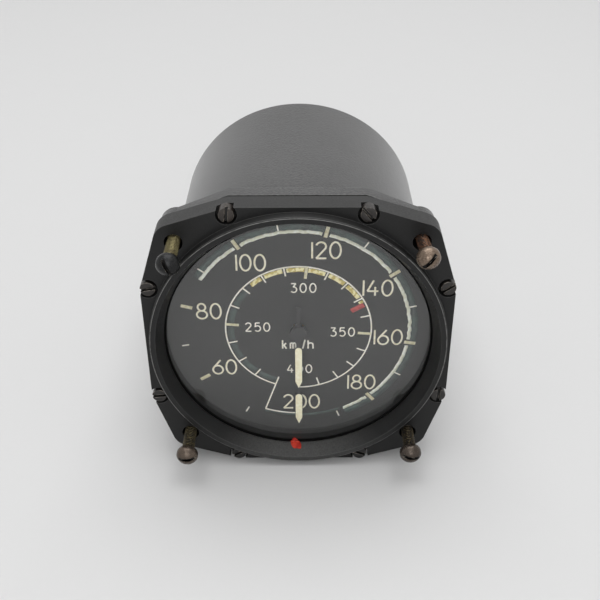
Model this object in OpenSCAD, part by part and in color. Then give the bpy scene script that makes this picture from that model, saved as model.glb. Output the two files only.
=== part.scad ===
// Airspeed indicator for an 80 mm panel cut-out, with a pointer that makes two turns.
// A pressure capsule at the rear moves a rocking shaft, a sector and two gear pairs.
// X points right and Z up as the dial is read, and Y runs from the dial to the rear.
// The origin is on the pointer's axis, in the plane where the frame meets the panel.
// Outlines are drawn as seen from the front, and depths are counted along Y.

/* [Panel interface] */
// Radius of the ring that enters the panel cut-out
ring_r = 39.9; // [39:0.1:42]
// Height of the ring in front of the frame
ring_h = 3; // [2:0.1:4.5]
// Wall between the ring and each mounting hole
hole_wall = 2; // [1.6:0.1:3]
// Clearance round a mounting screw in the frame
hole_clear = 0.65; // [0.4:0.05:1]

/* [Front frame] */
// Distance from the ring to each straight edge
frame_margin = 1.3; // [1:0.1:3]
// Half the length of each straight edge
flat_half = 17.5; // [15:0.1:19]
// Radius of the rounded corners
lobe_r = 5.25; // [4.6:0.05:6.5]
// Thickness of the frame
frame_t = 6.4; // [5.5:0.1:7.4]
// Width of the flat land on the ring's front
land_w = 1.7; // [1:0.1:2.2]
// Chamfer on the ring's outer edge
ring_chamfer = 0.3; // [0.1:0.05:0.6]
// Width of the ring's inner slope
slope_w = 1.8; // [1.4:0.1:2.2]
// Depth at which the ring's inner slope meets the lip
slope_depth = 1.15; // [0.6:0.05:1.6]
// Length of the straight lip
lip_t = 0.5; // [0.3:0.05:0.8]
// Wall between the ring's outside and the glass seat
seat_wall = 2; // [1.6:0.1:2.3]

/* [Edge screws] */
// Distance of each edge screw past the end of its straight edge
edge_past = 0.15; // [-0.5:0.05:1]
// Distance of an edge screw's head from the straight edge
edge_margin = 0.04; // [0.02:0.02:0.6]
// Radius of an edge screw's head
edge_head_r = 2; // [1.7:0.05:2.2]
// Height of an edge screw's head
edge_head_h = 3; // [2:0.1:4]
// How far an edge screw's head stands out of the frame
edge_proud = 0.2; // [0:0.05:0.6]
// Free space in the half-open notch round the head
notch_clear = 0.75; // [0.4:0.05:1]
// Radius of an edge screw's thread
edge_shank_r = 1.25; // [1:0.05:1.4]

/* [Mounting screws] */
// Radius of a mounting screw's thread
screw_r = 1.75; // [1.6:0.05:2.1]
// Length of a mounting screw under its head
screw_len = 19; // [17:0.5:24]
// Radius of a mounting screw's head
head_r = 3; // [2.6:0.05:3.4]
// Height of the straight part of the head
head_side = 1.1; // [0.5:0.1:1.5]
// Height of the head's dome
head_dome = 2; // [0.8:0.1:2.2]
// Width of every screw slot
slot_w = 0.8; // [0.6:0.05:1]
// Depth of every screw slot
slot_d = 1; // [0.6:0.05:1.2]

/* [Glass and dial] */
// Thickness of the rubber seal in front of the glass
seal_t = 0.5; // [0.3:0.05:0.8]
// How far the seal shows inside the lip
seal_show = 0.5; // [0.1:0.05:0.8]
// Thickness of the cover glass
glass_t = 2; // [1.5:0.1:2.4]
// Distance from the glass to the dial
spacer_t = 3.65; // [3.2:0.05:4.5]
// Width of the spacer ring
spacer_w = 1; // [0.8:0.1:1.6]
// Thickness of the dial
dial_t = 0.8; // [0.6:0.05:1.2]
// Radius of the hole in the middle of the dial
dial_hole_r = 2; // [1.6:0.1:3]

/* [Pointer] */
// Distance from the pointer's tip to the lip
tip_gap = 3.4; // [2.4:0.1:5]
// Half the width of the stem between the hub and the bars, and of the tail
stem_half = 0.55; // [0.4:0.05:0.9]
// Half the width of the neck between the bars
neck_half = 0.3; // [0.25:0.05:0.6]
// How far the blade shows round the bars
blade_border = 0.1; // [0.05:0.05:0.4]
// Half the width of the luminous bars
lume_half = 0.96; // [0.7:0.02:1.1]
// Distance from the axis to the inner luminous bar
lume_start = 4.8; // [4.4:0.1:6]
// Distance from the axis to the point of the inner luminous bar
lume_point = 18.9; // [16:0.1:19.5]
// Distance between the two luminous bars
lume_break = 2.2; // [1.4:0.1:3]
// Thickness of the luminous bars
lume_t = 0.15; // [0.1:0.05:0.3]
// Thickness of the blade
blade_t = 0.6; // [0.4:0.05:0.8]
// Distance from the blade to the dial
blade_lift = 1.5; // [1.2:0.05:1.7]
// Radius of the pointer's hub
hub_r = 2.3; // [2.1:0.1:3.2]
// Length of the short tail opposite the tip
tail_len = 8.5; // [6:0.1:11]
// Length of the blade's pointed end
taper_len = 3.2; // [2:0.1:5]

/* [Case] */
// Width of the shelf that the dial rests on
dial_shelf = 1.5; // [1:0.1:2]
// Wall of the case
case_wall = 1.8; // [1.6:0.1:2.4]
// Free depth for the pipe between the capsule's stem and the hose ports
pipe_space = 6.6; // [5:0.1:18]
// Thickness of the rear wall
rear_wall = 2.5; // [2:0.1:3]
// Radius of the case's rear edge
rear_edge_r = 2; // [1:0.1:3]
// Thickness of the flange gasket
gasket_t = 0.4; // [0.3:0.05:0.8]
// Thickness of the case flange
flange_t = 4.5; // [3.5:0.1:6]
// Radius of the flange's corner bosses
flange_lobe_r = 4.5; // [4:0.1:5]
// How far the flange's slanted sides dip behind the frame's, in degrees
flange_dip = 25; // [10:1:28]
// Radius of the inner bosses that carry the base plate
boss_r = 3.5; // [3:0.1:4]

/* [Hose ports] */
// Distance of each hose port from the axis
port_off = 14; // [12:0.5:18]
// Radius of a hose nipple
nipple_r = 3; // [2.5:0.1:3.5]
// Length of a hose nipple behind its hexagon
nipple_len = 11.5; // [8:0.5:16]
// Thickness of the port's hexagon
port_hex_h = 4; // [3:0.1:6]
// Corner radius of the port's hexagon
port_hex_r = 7; // [6:0.1:8]
// Radius of the port's thread in the rear wall
port_shank_r = 4; // [3.8:0.1:4.5]
// Thickness of the sealing washer
washer_t = 0.5; // [0.3:0.05:1]
// Thickness of the nut inside the case
port_nut_h = 3; // [2.4:0.1:3.2]

/* [Capsule] */
// Free space between the capsule and the pillars
capsule_gap = 1.7; // [1:0.1:4]
// Width of the capsule's soldered rim
capsule_rim = 1.5; // [1:0.1:2]
// Height of each diaphragm's crown
crown = 2; // [1.5:0.1:2.6]
// Height of the diaphragm's ripples
ripple = 0.35; // [0.2:0.05:0.5]
// Number of ripples in a diaphragm
ripple_count = 4; // [3:1:5]
// Thickness of the diaphragm sheet
sheet_t = 0.25; // [0.2:0.01:0.35]
// Length of the capsule's stud
stud_len = 6; // [5:0.1:8]
// Length of the capsule's stem in front of the base plate
stem_len = 5; // [4:0.1:7]
// Radius of the capsule's stem
stem_r = 3; // [2.6:0.1:3.6]
// Outer radius of the pressure pipe
pipe_r = 1.2; // [1:0.05:1.3]
// Wall of the pressure pipe
pipe_wall = 0.4; // [0.3:0.05:0.5]

/* [Movement] */
// Radius of the two movement plates
plate_r = 27; // [26.8:0.1:27.4]
// Thickness of the movement plates
plate_t = 1.5; // [1:0.1:2]
// Distance from the dial to the front movement plate
dial_gap = 4.7; // [3.5:0.1:6]
// Free space between the base plate and the case
base_gap = 3.4; // [1:0.1:4]
// Thickness of the base plate
base_t = 2; // [1.5:0.1:3]
// Distance of the pillars' middles from the edge of the movement plates
pillar_inset = 2.4; // [2.2:0.1:2.6]
// Radius of the pillars
pillar_r = 1.9; // [1.7:0.05:2]
// Radius of the small screws in the movement
small_screw_r = 1.1; // [0.9:0.05:1.2]
// Free space between neighbouring layers of the gear train
layer_gap = 1.3; // [1:0.1:2]
// Face width of the pinions
pinion_w = 3.4; // [2.4:0.1:5]
// Thickness of the wheel and the sector
wheel_t = 1; // [0.8:0.1:1.4]
// Length of the hairspring's collet
collet_h = 1.4; // [1.2:0.1:2]
// Radius of the arbors
arbor_r = 1; // [0.8:0.05:1.1]
// Radius of the pivots
pivot_r = 0.5; // [0.4:0.05:0.6]
// Radius of the bearing bushes in the plates
bush_r = 2; // [1.8:0.1:2.2]

/* [Gear train] */
// Size of a tooth: pitch diameter divided by the number of teeth
tooth_module = 0.4; // [0.38:0.01:0.42]
// Teeth on both pinions
pinion_teeth = 12; // [11:1:13]
// Teeth on the intermediate wheel
wheel_teeth = 60; // [56:1:62]
// Teeth on a full circle of the sector
sector_teeth = 72; // [68:1:76]
// How much thinner each tooth is than half its pitch
tooth_slack = 0.1; // [0.08:0.01:0.14]
// How far the wheel's arbor lies above the horizontal, in degrees
train_lean = 20; // [17:0.5:24]
// Turn of the pointer from its rest to full speed, in degrees
pointer_sweep = 720; // [600:10:720]

/* [Rocking shaft] */
// Turn of the rocking shaft over the whole scale, in degrees
rocker_sweep = 11.5; // [9:0.5:13]
// Length of the arm that moves the sector's lever
driver_len = 14; // [12:0.2:16]
// Radius of the arms' round ends
arm_r = 0.6; // [0.5:0.02:0.7]
// Gap where one arm bears on another
bearing_gap = 0.15; // [0.12:0.01:0.25]
// Depth of the sector's lever behind the rear plate
lever_gap = 2; // [1.6:0.1:3]
// Length of the sector lever's hub
lever_hub_h = 2; // [1.6:0.1:3]
// Thickness of the shaft's brackets
bracket_t = 2.5; // [2:0.1:3]
// Distance from the crank to the left bracket
bracket_left = 17.75; // [17.4:0.05:18.2]
// Distance from the crank to the right bracket
bracket_right = 7.75; // [7.4:0.05:10]

/* [Fits] */
// Clearance of pivots that turn in their holes
running = 0.03; // [0.02:0.005:0.06]
// Clearance between pieces that are fixed to each other
slip = 0.02; // [0.015:0.005:0.04]
// Clearance round screws in plain holes
screw_clear = 0.12; // [0.08:0.01:0.15]
// Clearance round the glass, spacer and dial in their seat
seat_clear = 0.2; // [0.1:0.05:0.3]
// Play of a shaft between its shoulders
end_play = 0.15; // [0.1:0.01:0.25]

/* [Hidden] */
$fn = 96;
// How far a cut runs past the face that it opens
over = 1;
// Straight steps along a frame corner, the case's rear edge and a screw's dome
corner_steps = 16;
rear_edge_steps = 6;
dome_steps = 8;

// Radii of the front, from the ring inwards, and of the case
hole_r = screw_r + hole_clear;
hole_half = (ring_r + hole_wall + hole_r) / sqrt(2);
frame_flat = ring_r + frame_margin;
lip_r = ring_r - land_w - slope_w;
seat_r = ring_r - seat_wall;
stack_r = seat_r - seat_clear;
case_in_r = seat_r - dial_shelf;
case_r = case_in_r + case_wall;
pointer_len = lip_r - tip_gap;
notch_r = edge_head_r + notch_clear;

// Depths of the glass stack and the flange
seal_front = slope_depth + lip_t;
glass_front = seal_front + seal_t;
spacer_front = glass_front + glass_t;
dial_front = spacer_front + spacer_t;
dial_back = dial_front + dial_t;
flange_front = frame_t + gasket_t;
flange_back = flange_front + flange_t;

// Depths of the movement, from the dial to the rear
front_plate_y = dial_back + dial_gap;
train_y = front_plate_y + plate_t;
pointer_pinion_y = train_y + layer_gap;
second_pinion_y = pointer_pinion_y + pinion_w + layer_gap;
collet_y = second_pinion_y + pinion_w + layer_gap;
rear_plate_y = collet_y + collet_h + layer_gap;
rear_plate_back = rear_plate_y + plate_t;
wheel_y = pointer_pinion_y + (pinion_w - wheel_t) / 2;
sector_y = second_pinion_y + (pinion_w - wheel_t) / 2;
lever_hub_y = rear_plate_back + lever_gap;
lever_y = lever_hub_y + lever_hub_h / 2;

// Gear train: pitch radii, arbor places and turns
pressure_angle = 20;
pinion_pitch_r = tooth_module * pinion_teeth / 2;
wheel_pitch_r = tooth_module * wheel_teeth / 2;
sector_pitch_r = tooth_module * sector_teeth / 2;
pinion_top = tooth_module;
wheel_top = 0.72 * tooth_module;
root_depth = 1.25 * tooth_module;
flank_steps = 4;
wheel_at = polar(pinion_pitch_r + wheel_pitch_r, 180 - train_lean);
sector_at = wheel_at - [0, pinion_pitch_r + sector_pitch_r];
sector_sweep = pointer_sweep * pinion_teeth / wheel_teeth * pinion_teeth / sector_teeth;
sector_spare_teeth = 2;
sector_moving_teeth = ceil(sector_sweep * sector_teeth / 360) + sector_spare_teeth;

// Rocking shaft: its place, its crank and the sector's lever
rocker_half = rocker_sweep / 2;
lever_len = driver_len * tan(rocker_half) / tan(sector_sweep / 2);
driver_x = sector_at[0] + lever_len;
rocker_y = lever_y + driver_len;
rocker_z = sector_at[1] + 2 * arm_r + bearing_gap;
crank_len = -rocker_z;
shaft_hub_r = 2 * arbor_r;
hub_w = 3;
crank_half_w = 1.2;
crank_half_t = 0.75 * arm_r;
crank_pin_half = 2;
weight_x = 4.5;
weight_drop = 6;
weight_r = 2.2;
weight_arm_half = 0.8;
tip_over = 1.5;
lever_hub_r = 1.9;
bracket_half = 3.5;
foot_w = 5;
foot_rise = 7;
foot_t = 1.5;

// Capsule, base plate and pillars, from the stud to the rear
base_r = case_in_r - base_gap;
boss_circle = base_r - boss_r;
pillar_circle = plate_r - pillar_inset;
capsule_r = pillar_circle - pillar_r - capsule_gap;
stud_front = rocker_y + crank_len * sin(rocker_half) + arm_r + bearing_gap;
capsule_y = stud_front + stud_len + crown + sheet_t;
stem_front = capsule_y + crown + sheet_t;
base_y = stem_front + stem_len;
base_back = base_y + base_t;
thread_step = 0.5;
thread_proud = 0.3;
nut_wall = 1.6;
stem_thread_r = stem_r - thread_step;
stem_nut_h = 2.2;
stem_nut_r = stem_r + nut_wall;
stem_back = base_back + stem_nut_h + thread_proud;
stem_flange_t = 1;
stem_flange_r = stem_r + stem_flange_t;
capsule_flat_r = stem_flange_r;
stud_pad_r = 2;
stud_pad_t = 1;
stud_foot_r = capsule_flat_r - 0.5;
stud_foot_t = 0.8;
pipe_bore_r = pipe_r + slip;
pipe_in_r = pipe_r - pipe_wall;
ripple_points = 8;

// Rear wall, hose ports and the pipe between the stem and the pitot port
shank_proud = 0.5;
shank_front = stem_back + pipe_space;
wall_front = shank_front + shank_proud + port_nut_h;
case_back = wall_front + rear_wall;
washer_r = port_hex_r - 1;
hex_front = case_back + washer_t;
hex_back = hex_front + port_hex_h;
nipple_back = hex_back + nipple_len;
nipple_chamfer = 0.6;
pipe_socket = 1.2;
elbow_wall = 0.5;
pipe_run_y = (stem_back + shank_front) / 2;
pitot_at = [port_off, 0];
static_at = [-port_off, 0];

// Places of fasteners and pillars
mount_at = [for (z = [hole_half, -hole_half]) for (x = [-hole_half, hole_half]) [x, z]];
// How far each mounting screw's head stands in front of the frame, and the turn of its slot
mount_stand = [10, 7.3, 8.8, 8.2];
mount_slot = [-65, 50, 3, -9];
edge_along = flat_half + edge_past;
edge_line = frame_flat - edge_head_r - edge_margin;
edge_right_at = [
    [edge_along, edge_line], [edge_line, edge_along], [edge_line, -edge_along], [edge_along, -edge_line]
];
edge_at = [for (p = edge_right_at) for (side = [-1, 1]) [side * p[0], p[1]]];
// Turn of each edge screw's slot, in degrees
edge_slot = [85, -50, 10, 35, 5, 88, 30, -20];
pillar_at = [for (a = [80, 235, 335]) polar(pillar_circle, a)];
boss_at = [for (a = [20, 140, 265]) polar(boss_circle, a)];
bracket_x = [-bracket_left - bracket_t, bracket_right];
bracket_screw_at = [for (x = bracket_x) [x + foot_w / 2, rocker_z + foot_rise]];
spring_turns = 5;
spring_in_r = 2 * arbor_r;
spring_out_r = 8;
spring_t = 0.2;
spring_end = 330;
spring_step = 15;
spring_inset = 0.4;
collet_r = (spring_in_r - spring_t / 2) * cos(spring_step / 2) - slip;
stud_post_r = 0.9;
stud_hole_r = 0.6;
spring_stud_at = wheel_at + polar(spring_out_r + stud_post_r + spring_t, spring_end);
small_head_r = 1.8 * small_screw_r;
small_head_h = 1.4;
small_screw_len = 6;
// Depth that a screw leaves free at the bottom of its hole
screw_spare = 0.5;
spigot_len = 5;
base_slot = 30;
plate_slot = 60;
bush_flange_r = bush_r + 0.8;
bush_flange_t = 0.4;

// Rims, windows and hubs of the sector and the wheel
sector_rim = 3;
sector_window_r = 5.5;
sector_hub_r = 1.2 * shaft_hub_r;
sector_hub_step = 0.6;
fan_flare = 50;
rim_margin = 5;
spoke_margin = 12;
wheel_rim = 2;
wheel_window_r = 3.6;
wheel_hub_r = 1.2 * shaft_hub_r;
wheel_hub_step = 0.8;
spoke_outer = 6;
spoke_inner = 18;
rim_steps = 12;
window_steps = 4;

// Pointer: its depth, its hub and the shape of its luminous bars
blade_front = dial_front - blade_lift - blade_t;
staff_proud = 0.3;
staff_front = blade_front - staff_proud;
hub_cap_t = 0.5;
hub_boss_t = 0.7;
lume_tip_gap = 1;
lume_taper = 2.4 * lume_half;
lume_round_steps = 12;

// Point at a distance and an angle from the axis, counted anticlockwise from the right
function polar(r, a) = [r * cos(a), r * sin(a)];
// Points along an arc
function arc(r, from, to, steps) = [for (i = [0:steps]) polar(r, from + (to - from) * i / steps)];
// Point mirrored into another quarter
function in_quarter(p, q) = q == 0 ? p : q == 1 ? [-p[1], p[0]] : q == 2 ? [-p[0], -p[1]] : [p[1], -p[0]];
// Involute angle in degrees
function involute(a) = tan(a) * 180 / PI - a;

// Corner outline of a quarter: straight edge, slanted side and a rounded corner
// A turn above zero lets the slanted side meet the corner short of its tangent
function corner_turn(r) =
    let (d = [flat_half - hole_half, frame_flat - hole_half])
    atan2(d[1], d[0]) - acos(r / norm(d));
function quarter(r, turn) =
    let (a = corner_turn(r) + turn)
    concat(
        [[frame_flat, flat_half]],
        [for (p = arc(r, 90 - a, a, corner_steps)) p + [hole_half, hole_half]],
        [[flat_half, frame_flat]]
    );
function outline(r, turn) = [for (q = [0:3]) for (p = quarter(r, turn)) in_quarter(p, q)];

// Half the angle that a tooth fills at a radius
function tooth_half(teeth, r) =
    let (pitch_r = tooth_module * teeth / 2, base_r = pitch_r * cos(pressure_angle))
    let (half = 90 / teeth - tooth_slack / (2 * pitch_r) * 180 / PI + involute(pressure_angle))
    r <= base_r ? half : half - involute(acos(base_r / r));
// Outline of one tooth, in the direction of its angle
function tooth(teeth, top, angle) =
    let (pitch_r = tooth_module * teeth / 2, root = pitch_r - root_depth, tip = pitch_r + top)
    let (radii = [for (i = [0:flank_steps]) root + (tip - root) * i / flank_steps])
    concat(
        [for (i = [0:flank_steps]) polar(radii[i], angle - tooth_half(teeth, radii[i]))],
        [for (i = [0:flank_steps]) let (r = radii[flank_steps - i]) polar(r, angle + tooth_half(teeth, r))]
    );

// Solid of an outline between two depths
module slab(front, back) {
    translate([0, back, 0])
        rotate([90, 0, 0])
            linear_extrude(back - front)
                children();
}

// Round solid from a half section of radius and depth
module turned(at = [0, 0]) {
    translate([at[0], 0, at[1]])
        rotate([-90, 0, 0])
            rotate_extrude()
                children();
}

// Round bar along the depth
module rod(r, front, back, at = [0, 0]) {
    translate([at[0], front, at[1]])
        rotate([-90, 0, 0])
            cylinder(r = r, h = back - front);
}

// Round bar from left to right
module cross_rod(r, from_x, to_x, y, z) {
    translate([from_x, y, z])
        rotate([0, 90, 0])
            cylinder(r = r, h = to_x - from_x);
}

// Box from its lowest to its highest corner
module block(low, high) {
    translate(low)
        cube(high - low);
}

// Hexagon between two depths with a round hole
module hex_ring(r, bore, front, back, at) {
    difference() {
        translate([at[0], front, at[1]])
            rotate([-90, 0, 0])
                cylinder(r = r, h = back - front, $fn = 6);
        rod(bore, front - over, back + over, at);
    }
}

// Flat ring or sleeve along the depth
module sleeve(r, bore, front, back, at = [0, 0]) {
    difference() {
        rod(r, front, back, at);
        rod(bore, front - over, back + over, at);
    }
}

// Slot across a screw's head
module slot(front, at, turn, length) {
    translate([at[0], front, at[1]])
        rotate([0, -turn, 0])
            block([-length, -over, -slot_w / 2], [length, slot_d, slot_w / 2]);
}

// Slotted cheese-head screw, head towards the front
module cheese_screw(shank, head, head_h, front, back, at, turn) {
    difference() {
        union() {
            rod(head, front, front + head_h, at);
            rod(shank, front + head_h, back, at);
        }
        slot(front, at, turn, 2 * head);
    }
}

// Cheese-head screw with its head towards the rear
module rear_screw(shank, head, head_h, front, back, at) {
    translate([2 * at[0], front + back, 0])
        rotate([0, 0, 180])
            cheese_screw(shank, head, head_h, front, back, at, 0);
}

// Toothed outline of a whole gear, with its first tooth at the given angle
module gear_outline(teeth, top, first) {
    polygon([for (k = [0:teeth - 1]) for (p = tooth(teeth, top, first + 360 / teeth * k)) p]);
}

// Case: round body with a flange in front, a closed rear wall and inner bosses
module case() {
    rear_edge_at = [case_r - rear_edge_r, case_back - rear_edge_r];
    color("gray")
        difference() {
            union() {
                slab(flange_front, flange_back)
                    polygon(outline(flange_lobe_r, flange_dip));
                turned()
                    polygon(concat(
                        [[0, flange_front], [case_r, flange_front]],
                        [for (p = arc(rear_edge_r, 0, 90, rear_edge_steps)) rear_edge_at + p],
                        [[0, case_back]]
                    ));
            }
            difference() {
                rod(case_in_r, dial_back - over, wall_front);
                for (p = boss_at)
                    rod(boss_r, base_back, wall_front + over, p);
            }
            rod(seat_r, flange_front - over, dial_back);
            for (p = mount_at)
                rod(screw_r + slip, flange_front - over, flange_back + over, p);
            for (p = edge_at)
                rod(edge_shank_r + slip, flange_front - over, flange_back + over, p);
            for (p = boss_at)
                rod(small_screw_r + slip, base_back - over, base_back + small_screw_len, p);
            for (p = [pitot_at, static_at])
                rod(port_shank_r + slip, wall_front - over, case_back + over, p);
        }
}

// Front frame: plate with the panel ring, screw holes and the seat of the glass
module front_frame() {
    color([0.16, 0.16, 0.17])
        difference() {
            union() {
                slab(0, frame_t)
                    polygon(outline(lobe_r, 0));
                turned()
                    polygon([
                        [0, -ring_h],
                        [ring_r - ring_chamfer, -ring_h],
                        [ring_r, ring_chamfer - ring_h],
                        [ring_r, frame_t / 2],
                        [0, frame_t / 2]
                    ]);
            }
            turned()
                polygon([
                    [0, -ring_h - over],
                    [ring_r - land_w, -ring_h - over],
                    [ring_r - land_w, -ring_h],
                    [lip_r, slope_depth],
                    [lip_r, seal_front],
                    [seat_r, seal_front],
                    [seat_r, frame_t + over],
                    [0, frame_t + over]
                ]);
            for (p = mount_at)
                rod(hole_r, -over, frame_t + over, p);
            for (p = edge_at) {
                rod(notch_r, -over, edge_head_h - edge_proud, p);
                rod(edge_shank_r + screw_clear, -over, frame_t + over, p);
            }
        }
}

// Gasket between the frame and the case flange
module flange_gasket() {
    color([0.06, 0.06, 0.06])
        difference() {
            slab(frame_t, flange_front)
                polygon(outline(flange_lobe_r, flange_dip));
            rod(seat_r, frame_t - over, flange_front + over);
            for (p = mount_at)
                rod(screw_r + screw_clear, frame_t - over, flange_front + over, p);
            for (p = edge_at)
                rod(edge_shank_r + screw_clear, frame_t - over, flange_front + over, p);
        }
}

// Rubber seal between the lip and the glass
module glass_seal() {
    color([0.05, 0.05, 0.05])
        sleeve(stack_r, lip_r - seal_show, seal_front, glass_front);
}

module cover_glass() {
    color([0.8, 0.85, 0.85, 0.3])
        rod(stack_r, glass_front, spacer_front);
}

// Ring that keeps the glass away from the dial
module spacer_ring() {
    color([0.08, 0.08, 0.08])
        sleeve(stack_r, stack_r - spacer_w, spacer_front, dial_front);
}

// Dial, clamped at its edge between the spacer ring and the case
module dial_plate() {
    color([0.3, 0.31, 0.31])
        sleeve(stack_r, dial_hole_r, dial_front, dial_back);
}

// Slotted screws that hold the frame on the case
module edge_screws() {
    color([0.2, 0.19, 0.18])
        for (i = [0:len(edge_at) - 1])
            cheese_screw(
                edge_shank_r, edge_head_r, edge_head_h, -edge_proud, flange_back, edge_at[i], edge_slot[i]
            );
}

// Panel screws, partly turned out of the case flange
module mounting_screws() {
    color([0.42, 0.38, 0.25])
        for (i = [0:len(mount_at) - 1])
            mounting_screw(mount_at[i], -mount_stand[i], mount_slot[i]);
}

// One panel screw with a domed slotted head
module mounting_screw(at, under, turn) {
    sphere_r = (head_r * head_r + head_dome * head_dome) / (2 * head_dome);
    dome_half = asin(head_r / sphere_r);
    apex = under - head_side - head_dome;
    dome_turns = [for (i = [1:dome_steps]) dome_half * i / dome_steps];
    difference() {
        union() {
            turned(at)
                polygon(concat(
                    [[0, under], [0, apex]],
                    [for (a = dome_turns) [sphere_r * sin(a), apex + sphere_r * (1 - cos(a))]],
                    [[head_r, under]]
                ));
            rod(screw_r, under, under + screw_len, at);
        }
        slot(apex, at, turn, 2 * head_r);
    }
}

// Hose port: nipple, hexagon and a threaded shank through the rear wall
module hose_port(at) {
    difference() {
        union() {
            hex_ring(port_hex_r, pipe_bore_r, hex_front, hex_back, at);
            turned(at)
                polygon([
                    [0, shank_front],
                    [port_shank_r, shank_front],
                    [port_shank_r, hex_front],
                    [nipple_r, hex_front],
                    [nipple_r, nipple_back - nipple_chamfer],
                    [nipple_r - nipple_chamfer, nipple_back],
                    [0, nipple_back]
                ]);
        }
        rod(pipe_bore_r, shank_front - over, nipple_back + over, at);
    }
}

module pitot_port() {
    color("darkkhaki")
        hose_port(pitot_at);
}

module static_port() {
    color("darkkhaki")
        hose_port(static_at);
}

// Sealing washers under the ports' hexagons
module port_washers() {
    color([0.55, 0.2, 0.15])
        for (p = [pitot_at, static_at])
            sleeve(washer_r, port_shank_r + slip, case_back, hex_front, p);
}

// Nuts that hold the ports inside the rear wall
module port_nuts() {
    color("darkkhaki")
        for (p = [pitot_at, static_at])
            hex_ring(port_hex_r, port_shank_r + slip, wall_front - port_nut_h, wall_front, p);
}

// Straight lengths of the pipe: out of the stem, sideways, and into the pitot port
module pipe_runs(r) {
    rod(r, stem_back - pipe_socket, pipe_run_y);
    cross_rod(r, 0, port_off, pipe_run_y, 0);
    rod(r, pipe_run_y, shank_front + pipe_socket, pitot_at);
}

// Pipe with a soldered elbow block at each corner
module pressure_pipe() {
    half = pipe_r + elbow_wall;
    color("peru")
        difference() {
            union() {
                pipe_runs(pipe_r);
                for (x = [0, port_off])
                    block([x - half, pipe_run_y - half, -half], [x + half, pipe_run_y + half, half]);
            }
            pipe_runs(pipe_in_r);
        }
}

// Base plate on the case's bosses, with the capsule and the pillars on it
module base_plate() {
    color("silver")
        difference() {
            rod(base_r, base_y, base_back);
            rod(stem_thread_r + slip, base_y - over, base_back + over);
            for (p = concat(boss_at, pillar_at))
                rod(small_screw_r + screw_clear, base_y - over, base_back + over, p);
        }
}

module base_screws() {
    head_front = base_y - small_head_h;
    tip = base_back + small_screw_len - screw_spare;
    color("silver")
        for (p = boss_at)
            cheese_screw(small_screw_r, small_head_r, small_head_h, head_front, tip, p, base_slot);
}

// Hollow stem that carries the capsule and lets the pressure in
module capsule_stem() {
    color("darkgoldenrod")
        turned()
            polygon([
                [pipe_bore_r, stem_front],
                [stem_flange_r, stem_front],
                [stem_flange_r, stem_front + stem_flange_t],
                [stem_r, stem_front + stem_flange_t],
                [stem_r, base_y],
                [stem_thread_r, base_y],
                [stem_thread_r, stem_back],
                [pipe_bore_r, stem_back]
            ]);
}

module stem_nut() {
    color("darkgoldenrod")
        hex_ring(stem_nut_r, stem_thread_r + slip, base_back, base_back + stem_nut_h, [0, 0]);
}

// Distance of a diaphragm's inner face from the capsule's middle plane
function sheet_lift(r) =
    let (rim_r = capsule_r - capsule_rim, share = (r - capsule_flat_r) / (rim_r - capsule_flat_r))
    r >= rim_r ? 0 : r <= capsule_flat_r ? crown
    : crown * (1 - share) + ripple * (1 - cos(360 * ripple_count * share)) / 2;

// Half section of a rippled diaphragm, with its faces on one side of the middle plane
module diaphragm(bore, side) {
    steps = ripple_count * ripple_points;
    rim_r = capsule_r - capsule_rim;
    radii = concat(
        [bore],
        [for (i = [0:steps]) capsule_flat_r + (rim_r - capsule_flat_r) * i / steps],
        [capsule_r]
    );
    last = len(radii) - 1;
    inwards = [for (i = [0:last]) radii[last - i]];
    turned()
        polygon(concat(
            [for (r = radii) [r, capsule_y + side * sheet_lift(r)]],
            [for (r = inwards) [r, capsule_y + side * (sheet_lift(r) + sheet_t)]]
        ));
}

module rear_diaphragm() {
    color("goldenrod")
        diaphragm(pipe_bore_r, 1);
}

module front_diaphragm() {
    color("goldenrod")
        diaphragm(0, -1);
}

// Stud that the front diaphragm pushes against the crank
module capsule_stud() {
    color("darkgoldenrod")
        turned()
            polygon([
                [0, stud_front],
                [stud_pad_r, stud_front],
                [stud_pad_r, stud_front + stud_pad_t],
                [arbor_r, stud_front + stud_pad_t],
                [arbor_r, stud_front + stud_len - stud_foot_t],
                [stud_foot_r, stud_front + stud_len - stud_foot_t],
                [stud_foot_r, stud_front + stud_len],
                [0, stud_front + stud_len]
            ]);
}

// Pillars from the base plate, with a spigot through the rear plate
module long_pillars() {
    color("silver")
        for (p = pillar_at)
            difference() {
                union() {
                    rod(pillar_r, rear_plate_back, base_y, p);
                    rod(small_screw_r, rear_plate_y - spigot_len, rear_plate_back, p);
                }
                rod(small_screw_r + slip, base_y - small_screw_len, base_y + over, p);
            }
}

module pillar_screws() {
    tip = base_y - small_screw_len + screw_spare;
    color("silver")
        for (p = pillar_at)
            rear_screw(small_screw_r, small_head_r, small_head_h, tip, base_back + small_head_h, p);
}

// Movement plate with holes for the pillars and the three bearing bushes
module movement_plate(front, more_holes) {
    difference() {
        rod(plate_r, front, front + plate_t);
        for (p = concat(pillar_at, more_holes))
            rod(small_screw_r + screw_clear, front - over, front + plate_t + over, p);
        for (p = [[0, 0], wheel_at, sector_at])
            rod(bush_r + slip, front - over, front + plate_t + over, p);
    }
}

module rear_plate() {
    color("burlywood")
        difference() {
            movement_plate(rear_plate_y, bracket_screw_at);
            rod(stud_hole_r + slip, rear_plate_y - over, rear_plate_back + over, spring_stud_at);
        }
}

module front_plate() {
    color("burlywood")
        movement_plate(front_plate_y, []);
}

// Pillars between the two movement plates
module short_pillars() {
    color("silver")
        for (p = pillar_at)
            difference() {
                rod(pillar_r, train_y, rear_plate_y, p);
                rod(small_screw_r + slip, train_y - over, train_y + spigot_len, p);
                rod(small_screw_r + slip, rear_plate_y - spigot_len - screw_spare, rear_plate_y + over, p);
            }
}

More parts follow.
